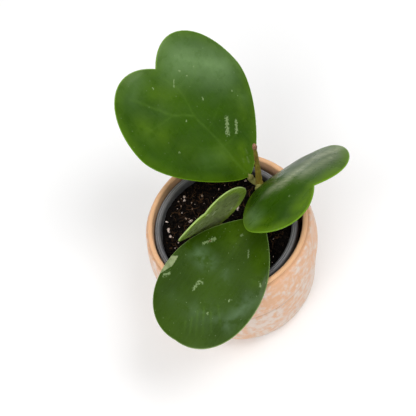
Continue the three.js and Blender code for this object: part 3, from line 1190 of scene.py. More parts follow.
@dataclass
class PottingMix:
    """The dark mix in the grower pot, with crumbs, chips, fibres and white grains in its top."""

    pot: GrowerPot
    edge_height: float = 81.6
    middle_height: float = 84.4
    relief: float = 0.55
    # each wave's radians to the millimetre and its start
    waves: tuple[Flat, ...] = ((0.43, 0.8), (0.37, 1.57), (0.71, 2.0))
    lumps: tuple[Flat, ...] = ((5.0, 1.3), (1.6, 0.9))  # size and depth
    gap: float = 0.3
    crust: float = 2.0  # how deep the loose top is
    steps: int = 264
    rings: int = 76
    shade_seed: int = 3
    mottle: float = 0.4
    # what stands in the mix: across, back and radius
    stems: tuple[Point, ...] = ((28.3, 21.2, 3.2), (25.8, 24.6, 2.4), (-4.2, 3.5, 1.9))

    @property
    def centre(self) -> Flat:
        """The middle of the grower pot."""
        return self.pot.centre

    def top(self, x: Array | float, y: Array | float) -> Array | float:
        """Height of the mix.

        Args:
            x: Across, from the grower pot's centre.
            y: Back, from the grower pot's centre.

        Returns:
            The height at each place.
        """
        share = np.hypot(x, y) / self.pot.mouth_radius
        mound = self.middle_height + (self.edge_height - self.middle_height) * share**3
        (a, b), (c, d), (e, f) = self.waves
        return mound + self.relief * (np.sin(a * x + b) * np.sin(c * y + d) + np.sin(e * (y - 0.5 * x) + f))

    def clear_of_stems(self, x: float, y: float, size: float) -> bool:
        """Whether a lump lies clear of what stands in the mix."""
        x, y = x + self.centre[0], y + self.centre[1]
        return all(math.hypot(x - sx, y - sy) > radius + 0.55 * size for sx, sy, radius in self.stems)

    def build(self) -> Piece:
        """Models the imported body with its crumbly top.

        Returns:
            The body, still without a material.
        """
        pot = self.pot
        bottom = pot.bottom + pot.floor + self.gap
        taper = (pot.throat_radius - pot.bottom_radius) / (pot.rim_height - pot.throat_drop - bottom)
        edge = pot.bottom_radius - self.gap + taper * (self.edge_height - bottom)
        rings = np.linspace(edge, 0.0, self.rings)
        top = np.stack([rings, np.full_like(rings, self.edge_height)], 1)
        profile = np.vstack([[(0.0, bottom), (pot.bottom_radius - self.gap, bottom)], top])
        body = spun("mix_body", profile, self.steps)
        place = corners(body)
        on_top = place[:, 2] > self.edge_height - 0.5 * self.crust
        place[on_top, 2] = self.top(place[on_top, 0], place[on_top, 1])
        move_corners(body, place)
        for wave, depth in self.lumps:
            self.roughen_top(body, wave, depth)
        place = corners(body)
        paint(body, shade=np.random.default_rng(self.shade_seed).random(len(place)) * self.mottle)
        move_corners(body, place + (*self.centre, 0.0))
        smooth(body)
        return body

    def roughen_top(self, body: Piece, wave: float, depth: float) -> None:
        """Moves the vertices of the top up and down by cloudy noise.

        Args:
            body: The mix's mesh.
            wave: The size of the clouds, in millimetres.
            depth: From the lowest to the highest place, in millimetres.
        """
        place = corners(body)
        roughen(body, wave, depth)
        height = place[:, 2]
        place[:, 2] = np.where(height < self.edge_height - self.crust, height, corners(body)[:, 2])
        move_corners(body, place)

    def make(self, finish: CrumbFinish, strewn: list[Strewn]) -> None:
        """Builds and dresses the mix and all that lies in it.

        Args:
            finish: The mix's own look.
            strewn: What lies in it.
        """
        dress(self.build(), finish.make(), Slot.POTTING_MIX, "soil")
        for kind in strewn:
            dress(kind.build(self), kind.finish.make(), Slot.POTTING_MIX)


# ---- the plant ----


@dataclass
class WoodyStem:
    """The short woody stem: a node just above the mix and a healed cut at the top."""

    line: tuple[Point, ...] = (
        (27.8, 20.8, 62.0), (28.3, 21.2, 85.2), (30.1, 23.4, 107.0), (31.2, 25.2, 128.5),
    )
    girth: tuple[Flat, ...] = (  # share of the line and radius
        (0, 1.8), (0.32, 2.3), (0.37, 2.8), (0.43, 2.3), (0.65, 1.8),
        (0.92, 1.2), (0.955, 1.7), (0.985, 1.6), (1, 0.8),
    )
    steps: int = 190
    blend: int = 3  # how many steps to either side the girth is evened over
    sides: int = 8
    bumps: Flat = (2.4, 0.7)  # size and depth
    node: Flat = (86.5, 1.6)  # height and width
    node_strength: float = 0.5
    tip: Flat = (124.4, 125.8)  # the heights between which it begins

    def make(self, finish: BarkFinish) -> None:
        """Builds and dresses the stem.

        Args:
            finish: Its bark.
        """
        share = np.linspace(0.0, 1.0, self.steps + 1)
        radii = np.interp(share, *np.array(self.girth, float).T)
        window = 2 * self.blend + 1
        radii = np.convolve(np.pad(radii, self.blend, mode="edge"), np.ones(window) / window, mode="valid")
        stem = tube("woody_stem", smooth_line(list(self.line), self.steps), radii, self.sides)
        roughen(stem, *self.bumps)
        height = corners(stem)[:, 2]
        node = self.node_strength * hump(height, *self.node)
        paint(stem, node=node, tip=smoothstep(*self.tip, height))
        smooth(stem)
        dress(stem, finish.make(), Slot.BARK, "stem")


@dataclass(frozen=True)
class Outline:
    """Half of a heart or an egg shape: two curves from the stalk to the notch, as shares of the length."""

    widest: float
    notch: float
    base_angle: float
    notch_angle: float
    handles: tuple[float, ...]


@dataclass(frozen=True)
class Mark:
    """A mark between two flat places of a leaf: a fleck, a patch, a scar, or an area of painted haze, sheen
    or light.
    """

    start: Flat
    end: Flat
    radius: float
    strength: float = 1.0


@dataclass(frozen=True)
class Patch:
    """A pale patch with straight sides and sharp corners, on a leaf's flat places."""

    corners: tuple[Flat, ...]

    def depth(self, place: Array) -> Array:
        """How deep flat places lie in the patch.

        Args:
            place: The places.

        Returns:
            Millimetres from the nearest side, and at most -1 well outside.
        """
        ring = np.array(self.corners, float)
        sides = np.roll(ring, -1, axis=0) - ring
        inward = np.stack([-sides[:, 1], sides[:, 0]], axis=1) / np.linalg.norm(sides, axis=1)[:, None]
        return np.clip(((place[:, None] - ring) * inward).sum(axis=-1).min(axis=1), -1.0, 1.0)


@dataclass(frozen=True)
class Vein:
    """A faint pale line through flat places of a leaf, fading towards its end."""

    line: tuple[Flat, ...]
    strength: float = 0.3
    width: float = 1.1
    left: float = 0.35


HEART = Outline(0.555, 0.874, 79.0, 44.0, (0.125, 0.209, 0.335, 0.302))
YOUNG_HEART = Outline(0.53, 0.874, 79.0, 41.0, (0.125, 0.209, 0.335, 0.302))
ROUND = Outline(0.594, 0.985, 47.4, 85.0, (0.23, 0.26, 0.255, 0.187))


@dataclass
class HoyaLeaf:
    """A thick leaf with its stalk: an outline, bent, and turned to where it stands."""

    name: str
    node: str
    outline: Outline
    length: float
    half_width: float
    base: Point
    spin: float
    rise: float
    roll: float
    stalk: tuple[Point, ...]
    stalk_radii: tuple[float, ...]
    lopsided: float = 0.0
    thick: float = 1.9
    curl: float = 0.0
    cup: float = 0.0
    fold: float = 0.0
    twist: float = 0.0
    veins: tuple[Vein, ...] = ()
    # areas of painted reflection haze
    bloom: tuple[Mark, ...] = ()
    flecks: tuple[Mark, ...] = ()
    patches: tuple[Patch, ...] = ()
    spots: tuple[Mark, ...] = ()
    # painted sheen streaks
    sheen: tuple[Mark, ...] = ()
    # painted pools of light
    sunny: tuple[Mark, ...] = ()
    # how bright the painted light band along the margin is, and how wide it is
    glow: float = 0.3
    glow_width: float = 9.0
    segments: int = 320
    rings: int = 200
    curve_steps: int = 200
    blunt: float = 0.4  # the power that keeps the blade thick up to its margin
    crowding: float = 1.5  # the power that crowds the vertices at the margin
    level: float = 0.12  # how far in from the margin the relief begins, as a share
    ripple: float = 0.22
    swellings: int = 5
    swelling: float = 22.0
    rib_width: float = 1.6
    rib_depth: float = 0.16
    stalk_steps: int = 40
    stalk_bumps: Flat = (3.0, 0.25)  # size and depth
    stalk_root: float = 4.0  # how far along the blade the stalk ends
    seed: int = 1

    def half(self, side: float) -> Array:
        """One half of the outline.

        Args:
            side: 1 for the right half and -1 for the left one.

        Returns:
            Evenly spaced flat points from the stalk to the notch.
        """
        shape = self.outline
        reach = self.half_width * (1.0 + side * self.lopsided)
        a, b = math.radians(shape.base_angle), math.radians(shape.notch_angle)
        h0, h1, h2, h3 = (h * self.length for h in shape.handles)
        wide, end = shape.widest * self.length, shape.notch * self.length
        first = (h0 * math.sin(a), h0 * math.cos(a), reach, wide - h1, reach, wide)
        second = (reach, wide + h2, h3 * math.sin(b), end + h3 * math.cos(b), 0.0, end)
        base = (0.0, 0.0)
        lower = bezier(base, first, self.curve_steps)
        upper = bezier((reach, wide), second, self.curve_steps)
        return even_points(np.concatenate([[base], lower, upper]), self.segments // 2) * (side, 1.0)

    def bend(self, x: Array, y: Array) -> Array:
        """Bends flat places into the curled, cupped, folded and twisted blade.

        Args:
            x: Across, to the right.
            y: From the stalk towards the tip.

        Returns:
            Places in the leaf's own frame.
        """
        straight = 1e-6
        curl = math.radians(self.curl) or straight
        cup = math.radians(self.cup) or straight
        fold = math.radians(self.fold)
        t = y / self.length
        across = np.sin(cup * x / self.half_width) * self.half_width / cup
        lift = (1.0 - np.cos(cup * x / self.half_width)) * self.half_width / cup
        folded = lift + (np.hypot(across, FOLD_ROUND) - 0.5 * FOLD_ROUND) * math.sin(fold)
        inward = across * math.cos(fold)
        turn = math.radians(self.twist) * t
        side = inward * np.cos(turn) - folded * np.sin(turn)
        up = inward * np.sin(turn) + folded * np.cos(turn)
        forward = np.sin(curl * t) * self.length / curl - np.sin(curl * t) * up
        height = (1.0 - np.cos(curl * t)) * self.length / curl + np.cos(curl * t) * up
        return np.stack([side, forward, height], axis=-1)

    def facing(self, x: Array, y: Array) -> Array:
        """Which way the upper face looks at flat places."""
        step = 0.5
        ahead = self.bend(x, y + step) - self.bend(x, y - step)
        aside = self.bend(x + step, y) - self.bend(x - step, y)
        out = np.cross(aside, ahead)
        return out / np.linalg.norm(out, axis=-1, keepdims=True)

    def pose(self) -> Array:
        """How the leaf is turned where it stands."""
        spin = Matrix.Rotation(math.radians(self.spin), 3, "Z")
        rise = Matrix.Rotation(math.radians(self.rise), 3, "X")
        roll = Matrix.Rotation(math.radians(self.roll), 3, "Y")
        return np.array(spin @ rise @ roll)

    def relief(self, x: Array, y: Array, face: Array) -> Array:
        """How far the skin stands out of the plain blade, towards the upper face.

        Args:
            x: Across.
            y: Along.
            face: 1 on the upper face and -1 on the underside.

        Returns:
            The height in millimetres.
        """
        draw = np.random.default_rng(self.seed)
        waves = np.zeros_like(x)
        for _ in range(self.swellings):
            turn = draw.random() * math.tau
            wave = self.swelling + self.swelling * draw.random()
            start = draw.random() * math.tau
            waves += np.sin((x * math.cos(turn) + y * math.sin(turn)) * math.tau / wave + start)
        rib = hump(x, 0.0, self.rib_width) * smoothstep(0.8, 0.2, y / self.length)
        return self.ripple * waves * 0.45 - self.rib_depth * rib * np.sign(face)

    def vein_lines(self, flat: Array) -> Array:
        """How plainly a vein shows at flat places.

        Args:
            flat: The places.

        Returns:
            Up to a vein's strength on its line and 0 beside it.
        """
        shown = np.zeros(len(flat))
        for vein in self.veins:
            line = smooth_line([(*p, 0.0) for p in vein.line], VEIN_STEPS)[:, :2]
            for step, (start, end) in enumerate(zip(line, line[1:])):
                fade = 1.0 + (vein.left - 1.0) * step / VEIN_STEPS
                near = hump(distance(flat, start, end), 0.0, 0.6 * vein.width)
                shown = np.maximum(shown, vein.strength * fade * near)
        return shown

    def build(self) -> Piece:
        """Models the blade with its stalk.

        Returns:
            The leaf, still without a material.
        """
        pick()
        bpy.ops.mesh.primitive_uv_sphere_add(segments=self.segments, ring_count=self.rings, radius=MM)
        blade = bpy.context.object
        ball = corners(blade)
        polar = np.arccos(np.clip(ball[:, 2], -1.0, 1.0))
        turn = (np.arctan2(ball[:, 1], ball[:, 0]) + 0.5 * math.pi) % math.tau / math.tau
        rim = np.concatenate([self.half(1.0), self.half(-1.0)[::-1][1:]])
        index = np.rint(turn * self.segments).astype(int) % self.segments
        inner = np.clip(1.0 - np.abs(polar / (0.5 * math.pi) - 1.0), 0.0, 1.0)
        share = 1.0 - (1.0 - inner) ** self.crowding
        middle = np.array([0.0, 0.5 * self.length])
        flat = middle + (rim[index] - middle) * share[:, None]
        upper = np.where(ball[:, 2] >= 0.0, 1.0, -1.0)
        half = 0.5 * self.thick * np.sqrt(np.clip(1.0 - share**2, 0.0, 1.0)) ** self.blunt
        x, y = flat.T
        inland = smoothstep(0.0, self.level, 1.0 - share)
        height = upper * half + self.relief(x, y, upper) * inland
        place = self.bend(x, y) + self.facing(x, y) * height[:, None]
        move_corners(blade, place @ self.pose().T + self.base)
        self.mark(blade, flat, upper * (half / (0.5 * self.thick)), self.margin(flat, rim))
        self.lay_flat(blade, flat)
        self.add_stalk(blade)
        smooth(blade)
        blade.name = self.name
        return blade

    def margin(self, flat: Array, rim: Array) -> Array:
        """How far flat places are from the margin.

        Args:
            flat: The places.
            rim: The outline's points.

        Returns:
            Millimetres to the nearest side of the outline.
        """
        ring = rim[:-1]
        blocks = np.array_split(flat, len(flat) // BLOCK + 1)
        nearest = np.concatenate([np.linalg.norm(b[:, None] - ring, axis=-1).argmin(axis=1) for b in blocks])
        sides = (np.roll(ring, turn, axis=0)[nearest] for turn in (1, -1))
        return np.min([distance(flat, ring[nearest], side) for side in sides], axis=0)

    def mark(self, blade: Piece, flat: Array, face: Array, margin: Array) -> None:
        """Stores where the veins, the margin, the flecks, the paler places and the painted haze, sheen and
        light are.

        Args:
            blade: The blade's mesh.
            flat: Each vertex's flat place.
            face: 1 on the upper face and -1 on the underside.
            margin: The distance to the margin.
        """
        x, y = flat.T
        # painted light: a brighter band along the margin
        bright = self.glow * smoothstep(self.glow_width, 0.0, margin)
        paint(
            blade,
            vein=self.vein_lines(flat),
            face=face,
            margin=margin,
            base=smoothstep(0.16, 0.0, np.hypot(1.3 * x / self.length, y / self.length)) * 0.7,
            glow=np.maximum(bright, smoothstep(0.0, 1.0, self.marks(self.sunny, flat))),
            bloom=smoothstep(0.0, 1.0, self.marks(self.bloom, flat)),
            fleck=self.marks(self.flecks, flat),
            patch=np.max([np.full_like(x, -1.0), *(patch.depth(flat) for patch in self.patches)], axis=0),
            sheen=smoothstep(0.0, 1.0, self.marks(self.sheen, flat)),
            spot=smoothstep(0.0, 0.5, self.marks(self.spots, flat)),
            stalk=np.zeros_like(x),
        )

    def marks(self, marks: tuple[Mark, ...], flat: Array) -> Array:
        """How deep flat places lie in any of some marks.

        Args:
            marks: The marks.
            flat: The places.

        Returns:
            1 on a mark's line, 0 at its edge and down to -1 beyond.
        """
        depth = np.full(len(flat), -1.0)
        for mark in marks:
            off = distance(flat, np.array(mark.start), np.array(mark.end))
            depth = np.maximum(depth, mark.strength * (1.0 - off / mark.radius))
        return depth

    def lay_flat(self, blade: Piece, flat: Array) -> None:
        """Writes the flat places as the blade's own UV map.

        Args:
            blade: The blade's mesh.
            flat: The place of each vertex.
        """
        for layer in list(blade.data.uv_layers):
            blade.data.uv_layers.remove(layer)
        layer = blade.data.uv_layers.new(name="blade")
        index = np.empty(len(blade.data.loops), np.int32)
        blade.data.loops.foreach_get("vertex_index", index)
        layer.data.foreach_set("uv", (flat[index] / FLAT_SPAN + 0.5).astype(np.float32).ravel())

    def add_stalk(self, blade: Piece) -> None:
        """Models the stalk and joins it to the blade.

        Args:
            blade: The blade.
        """
        root = self.pose() @ self.bend(np.array(0.0), np.array(self.stalk_root)) + self.base
        line = smooth_line([tuple(root), self.base, *self.stalk], self.stalk_steps)
        girth = (ROOT_GIRTH, *self.stalk_radii)
        radii = np.interp(np.linspace(0.0, 1.0, len(line)), np.linspace(0.0, 1.0, len(girth)), girth)
        stalk = tube(self.name + "_stalk", line, radii)
        roughen(stalk, *self.stalk_bumps)
        whole = np.ones(len(stalk.data.vertices))
        paint(stalk, stalk=whole, face=whole, margin=99.0 * whole, fleck=-whole, patch=-whole)
        pick(stalk, blade)
        bpy.ops.object.join()

    def make(self, material: Material, slot: Slot) -> None:
        """Builds the leaf and dresses it in its finished material."""
        dress(self.build(), material, slot, self.node)


HEART_BACK = HoyaLeaf(
    name="heart_leaf_back",
    node="leaf_heart_back",
    outline=HEART,
    length=107.4,
    half_width=47.1,
    base=(24.1, 26.5, 92.0),
    spin=31.9,
    rise=43.0,
    roll=0.2,
    curl=-2.2,
    cup=-7.5,
    stalk=((24.4, 26.4, 88.4), (27.6, 22.0, 85.2)),
    stalk_radii=(0.4, 0.4, 1.2, 1.9, 2.2, 2.3, 2.2, 2.05, 1.9, 1.7, 1.55, 1.5),
    flecks=(
        Mark((14.3, 39.0), (7.1, 30.6), 1.7, 1.1),
        Mark((17.9, 33.0), (12.3, 27.0), 1.2, 1.15),
        Mark((10.5, 59.6), (10.1, 58.4), 0.8),
        Mark((-8.6, 56.0), (-7.6, 56.9), 0.6),
        Mark((-25.5, 44.8), (-24.8, 45.2), 0.7),
        Mark((-10.3, 86.0), (-10.0, 86.4), 0.7),
        Mark((10.9, 82.4), (11.5, 82.0), 0.8),
        Mark((20.1, 77.6), (20.4, 77.8), 0.6),
        Mark((12.5, 76.8), (12.8, 76.4), 0.6),
        Mark((4.1, 80.8), (0.9, 77.6), 0.6),
        Mark((30.1, 49.2), (29.4, 48.4), 0.5),
        Mark((30.5, 43.6), (30.4, 43.2), 0.5),
    ),
    veins=(
        Vein(
            ((0, 1), (-1.5, 10), (-0.5, 27), (-1.2, 42), (-1.9, 55), (1.2, 66), (1.8, 77), (-1.1, 88)),
            0.34, 1.3, 0.6,
        ),
        Vein(
            ((-1.9, 55.2), (-6.7, 60.4), (-11.9, 64.8), (-17.1, 74.4), (-22.3, 84.8), (-25.9, 91.2)),
            0.42, 1.5, 0.5,
        ),
        Vein(((-11.9, 64.8), (-18, 66), (-24.3, 66.8), (-32.7, 69.2)), 0.3, 1.3),
        Vein(((-0.5, 27), (-10.7, 34.4), (-19.5, 44.4), (-30.7, 47.2)), 0.16, 1.3),
        Vein(((-1.2, 42), (11.7, 46.4), (24.1, 52.8), (30.9, 57.2)), 0.16, 1.3),
        Vein(((-0.5, 27), (12.1, 26.4), (22.1, 29.6), (29.7, 33.6)), 0.16, 1.2),
        Vein(((1.5, 69.6), (13.7, 72.4), (22.1, 76.8), (28.9, 83.2)), 0.16, 1.3),
        Vein(((-1.0, 16), (-12.3, 21), (-22.7, 28.8)), 0.16, 1.2),
    ),
    # painted reflection haze on the upper lobes
    bloom=(
        Mark((17, 88), (34, 66), 27, 0.6),
        Mark((-14, 97), (-24, 91), 15, 0.25),
        Mark((30, 50), (33, 40), 13, 0.25),
        Mark((-6, 24), (-16, 30), 12, 0.22),
        Mark((-14, 70), (-26, 82), 14, 0.14),
    ),
    # painted pools of light
    sunny=(
        Mark((0, 10), (-4, 24), 16, 0.5),
        Mark((-20, 36), (-22, 46), 15, 0.3),
        Mark((-6, 76), (-12, 84), 20, 0.45),
        Mark((-26, 60), (-32, 74), 16, 0.5),
        Mark((24, 30), (32, 44), 13, 0.4),
        Mark((1, 4), (8, 17), 10, 0.6),
    ),
    # painted highlights: short pale streaks near the stalk
    sheen=(
        Mark((5.5, 7), (7, 10.5), 1.0, 0.3),
        Mark((3, 9.5), (3.8, 12), 0.9, 0.26),
        Mark((8.8, 12), (9.8, 15), 0.9, 0.24),
    ),
    glow=0.4,
    seed=4,
)
HEART_RIGHT = HoyaLeaf(
    name="heart_leaf_right",
    node="leaf_heart_right",
    outline=HEART,
    length=88.6,
    half_width=39.0,
    lopsided=0.013,
    base=(25.5, 15.3, 93.5),
    spin=-143.6,
    rise=63.1,
    roll=-7.8,
    curl=-35.0,
    cup=-1.0,
    fold=-10.0,
    twist=-5.7,
    stalk=((25.8, 15.8, 90.6), (28.6, 21.2, 88.4)),
    stalk_radii=(1.3, 1.6, 1.7),
    flecks=(Mark((11.4, 65.6), (11.8, 65.8), 0.7), Mark((7.5, 60.0), (7.8, 60.2), 0.5)),
    veins=(
        Vein(((0, 1), (0.5, 20), (-0.5, 45), (0.5, 76)), 0.2, 1.2, 0.5),
        Vein(((-0.5, 30), (9, 40), (20, 46)), 0.12),
        Vein(((-0.5, 45), (10, 56), (22, 66)), 0.12),
        Vein(((-0.5, 30), (-10, 40), (-22, 46)), 0.12),
    ),
    bloom=(Mark((27, 33), (31, 46), 12, 0.45),),
    # painted reflection: the sheen along the leaf's bend
    sheen=(
        Mark((14, 36), (9, 38), 6, 0.3),
        Mark((8, 40), (2, 47), 10, 0.6),
        Mark((2, 48), (-10, 51), 12, 0.75),
        Mark((-10, 51), (-24, 50), 12, 0.62),
        Mark((-25, 52), (-31, 62), 12, 0.66),
        Mark((-8, 60), (-24, 67), 14, 0.5),
        Mark((-20, 72), (-26, 74), 7, 0.25),
    ),
    sunny=(Mark((16, 80), (-26, 82), 12, 0.8), Mark((30, 62), (34, 44), 9, 0.5)),
    glow=0.85,
    seed=9,
)
FRONT = HoyaLeaf(
    name="round_leaf_front",
    node="leaf_front",
    outline=ROUND,
    length=98.9,
    half_width=33.5,
    lopsided=0.029,
    thick=1.8,
    base=(22.8, -7.1, 96.0),
    spin=128.7,
    rise=5.2,
    roll=-3.7,
    curl=-18.3,
    cup=-8.6,
    twist=-1.8,
    stalk=((29.5, 0.5, 92.0), (31.4, 11.0, 88.0), (28.8, 21.0, 85.4)),
    stalk_radii=(1.4, 1.5, 1.6, 1.6),
    flecks=(
        Mark((30.2, 66.6), (28.4, 64.6), 1.7),
        Mark((20.3, 36.6), (18.2, 33.4), 1.3),
        Mark((18.2, 33.4), (16.2, 30.4), 1.8),
        Mark((8.1, 64.8), (7.8, 58.6), 1.4),
        Mark((7.8, 58.6), (5.3, 58.8), 0.9),
        Mark((2.9, 19.6), (2.7, 18.6), 1.0),
        Mark((-6.3, 25.2), (-9.1, 29.6), 0.7),
        Mark((-25.1, 40.0), (-25.9, 41.4), 0.9),
        Mark((-14.7, 58.8), (-15.0, 59.6), 0.9),
        Mark((-8.3, 72.4), (-8.5, 73.2), 0.9),
    ),
    patches=(Patch(((30.0, 51.4), (38.0, 55.8), (38.0, 70.0), (33.8, 68.6), (29.2, 58.9))),),
    spots=(Mark((17.6, 32.6), (17.9, 33.4), 0.5),),
    veins=(
        Vein(((0, 1), (1.5, 18), (0.9, 39), (-0.3, 56), (-2.3, 73), (-2.7, 85)), 0.07, 1.6, 0.5),
        Vein(((0.9, 39), (12, 50), (22, 56)), 0.06, 1.6),
        Vein(((-0.3, 56), (-12, 66), (-22, 70)), 0.06, 1.6),
        Vein(((0.5, 84.4), (-2.7, 91.2)), 0.26, 1.2),
        Vein(((-1.5, 80.4), (-6.3, 90.0)), 0.34, 1.2),
        Vein(((-2.3, 75.2), (-9.9, 88.4)), 0.3, 1.3),
        Vein(((-4.3, 71.2), (-12.7, 85.2)), 0.34, 1.2),
        Vein(((-9.5, 71.2), (-16.7, 81.2)), 0.3, 1.2),
        Vein(((-11.1, 65.6), (-19.5, 75.2)), 0.26, 1.3),
    ),
    bloom=(
        Mark((19, 44), (10, 46), 11, 0.5),
        Mark((-3, 44), (-5, 50), 8, 0.28),
        Mark((-1, 76), (-15, 72), 15, 0.28),
        Mark((-22, 72), (-26, 52), 10, 0.4),
        Mark((8, 78), (18, 76), 12, 0.16),
    ),
    sunny=(Mark((6, 12), (4, 24), 14, 0.5), Mark((-14, 24), (-22, 40), 11, 0.35)),
    glow=0.06,
    seed=14,
)
YOUNG = HoyaLeaf(
    name="young_leaf",
    node="leaf_young",
    outline=YOUNG_HEART,
    length=49.3,
    half_width=26.6,
    lopsided=-0.045,
    base=(-4.4, 2.9, 86.0),
    spin=136.4,
    rise=74.7,
    roll=51.3,
    curl=-13.8,
    fold=-0.5,
    twist=-15.8,
    stalk=((-4.1, 3.6, 83.0), (-4.0, 4.0, 74.0)),
    stalk_radii=(1.3, 1.5, 1.3),
    segments=240,
    rings=120,
    ripple=0.15,
    veins=(Vein(((0, 1), (0, 20), (0, 40)), 0.3, 1.2, 0.4),),
    flecks=(
        Mark((-13.4, 16.4), (-12.2, 15.2), 0.8),
        Mark((-1.4, 28.4), (-4.6, 32.8), 1.1),
        Mark((0.2, 39.2), (-0.4, 37.6), 1.2),
        Mark((7.8, 31.6), (6.4, 30.2), 1.2),
        Mark((22.6, 8.8), (20.6, 10.8), 1.0),
        Mark((3.8, 25.6), (3.4, 24.4), 0.8),
    ),
    seed=21,
)


WAXY = LeafFinish("waxy_leaf")
CLOUDY = LeafFinish(
    "cloudy_leaf",
    deep=(0.019, 0.046, 0.0003),
    fresh=(0.031, 0.07, 0.001),
    bloom=(0.17, 0.27, 0.15),
    cloudy=0.85,
    speckled=0.9,
    speck_size=3.8,
    edge=(0.18, 0.26, 0.09),
    edge_width=0.6,
)
PALE = LeafFinish(
    "pale_leaf",
    deep=(0.1, 0.18, 0.01),
    fresh=(0.16, 0.26, 0.02),
    margin=(0.25, 0.39, 0.045),
    margin_width=8.0,
    edge=(0.36, 0.48, 0.16),
    edge_width=0.6,
    under=(0.23, 0.3, 0.1),
    fleck=(0.5, 0.55, 0.36),
    speckled=0.6,
    speck_size=3.2,
)


# ---- the studio ----


@dataclass(frozen=True)
class Softbox:
    """A soft square light: degrees from +X towards +Y and over the floor, metres away, side and watts."""

    name: str
    bearing: float
    height: float
    away: float
    size: float
    power: float


@dataclass
class Studio:
    """Floor, soft lights and the camera."""

    aim: Point = (-8.75, 13.39, 92.0)
    distance: float = 650.0
    elevation: float = 59.86
    lean: float = -18.31
    lens: float = 86.33
    sensor: float = 36.0
    near: float = 0.01
    floor_size: float = 2.6
    floor_cuts: int = 3
    horizon: float = 0.95
    zenith: float = 0.38
    pale_up_to: float = 8.0  # degrees over the horizon
    dim_from: float = 30.0
    softboxes: tuple[Softbox, ...] = (
        Softbox("key_left", -130.0, 52.0, 1.6, 0.9, 11.5),
        Softbox("front_right", -20.0, 62.0, 1.6, 0.7, 10.5),
        Softbox("overhead", 110.0, 78.0, 1.7, 1.8, 6.5),
    )

    def camera(self) -> None:
        """Sets up the camera at the photograph's angle."""
        pitch, lean = math.radians(self.elevation), math.radians(self.lean)
        ahead = Vector((0.0, math.cos(pitch), -math.sin(pitch)))
        right = Vector((1.0, 0.0, 0.0))
        up = Vector((0.0, math.sin(pitch), math.cos(pitch)))
        leaned_right = math.cos(lean) * right + math.sin(lean) * up
        leaned_up = math.cos(lean) * up - math.sin(lean) * right
        place = (Vector(self.aim) - self.distance * ahead) * MM
        data = bpy.data.cameras.new("camera")
        data.lens = self.lens
        data.sensor_width = self.sensor
        data.clip_start = self.near
        camera = add_object("camera", data)
        axes = Matrix((leaned_right, leaned_up, -ahead)).transposed()
        camera.matrix_world = Matrix.Translation(place) @ axes.to_4x4()
        bpy.context.scene.camera = camera

    def floor(self) -> None:
        """Lays the pale floor."""
        pick()
        bpy.ops.mesh.primitive_plane_add(size=self.floor_size)
        floor = bpy.context.object
        floor.name = "floor"
        with editing():
            bpy.ops.mesh.subdivide(number_cuts=self.floor_cuts)
        floor.data.materials.append(FloorFinish().make())

    def hang(self, box: Softbox) -> None:
        """Hangs a soft square light that looks at the plant.

        Args:
            box: The light.
        """
        data = bpy.data.lights.new(box.name, "AREA")
        data.energy = box.power
        data.shape = "SQUARE"
        data.size = box.size
        lamp = add_object(box.name, data)
        lamp.visible_camera = False
        turn, up = math.radians(box.bearing), math.radians(box.height)
        out = Vector((math.cos(turn) * math.cos(up), math.sin(turn) * math.cos(up), math.sin(up)))
        place = Matrix.Translation(Vector(self.aim) * MM + box.away * out)
        lamp.matrix_world = place @ out.to_track_quat("Z", "Y").to_matrix().to_4x4()

    def surroundings(self) -> None:
        """Makes the surroundings pale near the horizon and dim overhead."""
        world = bpy.data.worlds.new("surroundings")
        bpy.context.scene.world = world
        world.use_nodes = True
        nodes, links = world.node_tree.nodes, world.node_tree.links
        parts = nodes.new("ShaderNodeSeparateXYZ")
        links.new(nodes.new("ShaderNodeTexCoord").outputs["Generated"], parts.inputs[0])
        fade = nodes.new("ShaderNodeMapRange")
        fade.interpolation_type = "SMOOTHSTEP"
        pale, dim = math.sin(math.radians(self.pale_up_to)), math.sin(math.radians(self.dim_from))
        numbers = {"From Min": pale, "From Max": dim, "To Min": self.horizon, "To Max": self.zenith}
        for key, number in numbers.items():
            fade.inputs[key].default_value = number
        links.new(parts.outputs["Z"], fade.inputs["Value"])
        background = nodes["Background"]
        background.inputs["Color"].default_value = (1.0, 1.0, 1.0, 1.0)
        links.new(fade.outputs["Result"], background.inputs["Strength"])

    def make(self) -> None:
        """Sets up the whole studio."""
        self.camera()
        self.floor()
        self.surroundings()
        for box in self.softboxes:
            self.hang(box)
        bpy.context.scene.view_settings.view_transform = "Standard"


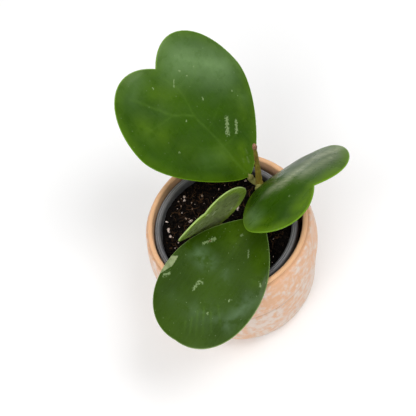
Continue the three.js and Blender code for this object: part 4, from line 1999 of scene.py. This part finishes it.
def strewn_kinds() -> list[Strewn]:
    """Everything small that lies in the mix.

    Returns:
        The kinds, from the finest to the palest.
    """
    dark = CrumbFinish("mix_crumbs", (0.002, 0.0014, 0.001), (0.009, 0.005, 0.003), depth=0.2)
    brown = CrumbFinish("brown_chips", (0.014, 0.007, 0.003), (0.06, 0.03, 0.014), depth=0.1)
    strand = CrumbFinish("brown_fibres", (0.03, 0.014, 0.006), (0.12, 0.06, 0.025), depth=0.02, rough=0.8)
    white = CrumbFinish("white_grains", (0.26, 0.17, 0.12), (0.66, 0.56, 0.5), 1.2, depth=0.1, rough=0.85)
    grains = (
        (-21.2, 31.5, 2.6), (-22.0, 29.9, 2.0), (-9.9, 28.5, 1.8), (-15.9, 24.5, 1.3), (-17.9, 25.8, 1.0),
        (-25.3, 26.5, 1.1), (-10.0, 21.2, 1.5), (-18.6, 21.2, 1.2), (-25.9, 20.9, 1.2), (-24.8, 15.3, 1.8),
        (-22.4, 12.5, 2.6), (-19.6, 13.3, 1.9), (-30.6, 11.5, 1.1), (-37.6, 11.3, 2.9), (-38.0, 6.6, 2.1),
        (-36.5, 5.6, 1.2), (9.7, 10.3, 2.2), (20.8, 28.8, 1.6), (26.7, -23.7, 1.0),
    )
    return [
        Strewn("crumbs", 2600, 0.7, 3.2, dark, 5, squash=0.8, sunk=0.15),
        Strewn("clods", 90, 2.4, 5.0, dark, 6, squash=0.75, sunk=0.25, faces=2, reach=38.0),
        Strewn("chips", 260, 0.9, 3.2, brown, 8, squash=0.35, stretch=1.4, sunk=0.05),
        Fibres("fibres", 300, 3.0, 9.0, strand, 9, squash=1.0, sunk=-0.04, reach=39.0),
        Strewn("grains", 130, 0.5, 1.5, white, 12, 0.75, stretch=1.2, sunk=0.1, faces=2, spots=grains),
    ]


def main() -> None:
    """Builds every piece in order."""
    logging.basicConfig(level=logging.INFO, format="%(message)s")
    Studio().make()
    CoverPot().make(EarthenwareFinish())
    grower = GrowerPot()
    grower.make(PlasticFinish())
    mix = CrumbFinish("potting_mix", (0.0015, 0.001, 0.0008), (0.006, 0.0035, 0.002), depth=0.4)
    PottingMix(grower).make(mix, strewn_kinds())
    WoodyStem().make(BarkFinish())
    waxy, cloudy, pale = (finish.make() for finish in (WAXY, CLOUDY, PALE))
    for leaf, skin in ((HEART_BACK, waxy), (HEART_RIGHT, waxy), (FRONT, cloudy)):
        leaf.make(skin, Slot.LEAF)
    YOUNG.make(pale, Slot.YOUNG_LEAF)


if __name__ == "__main__":
    main()
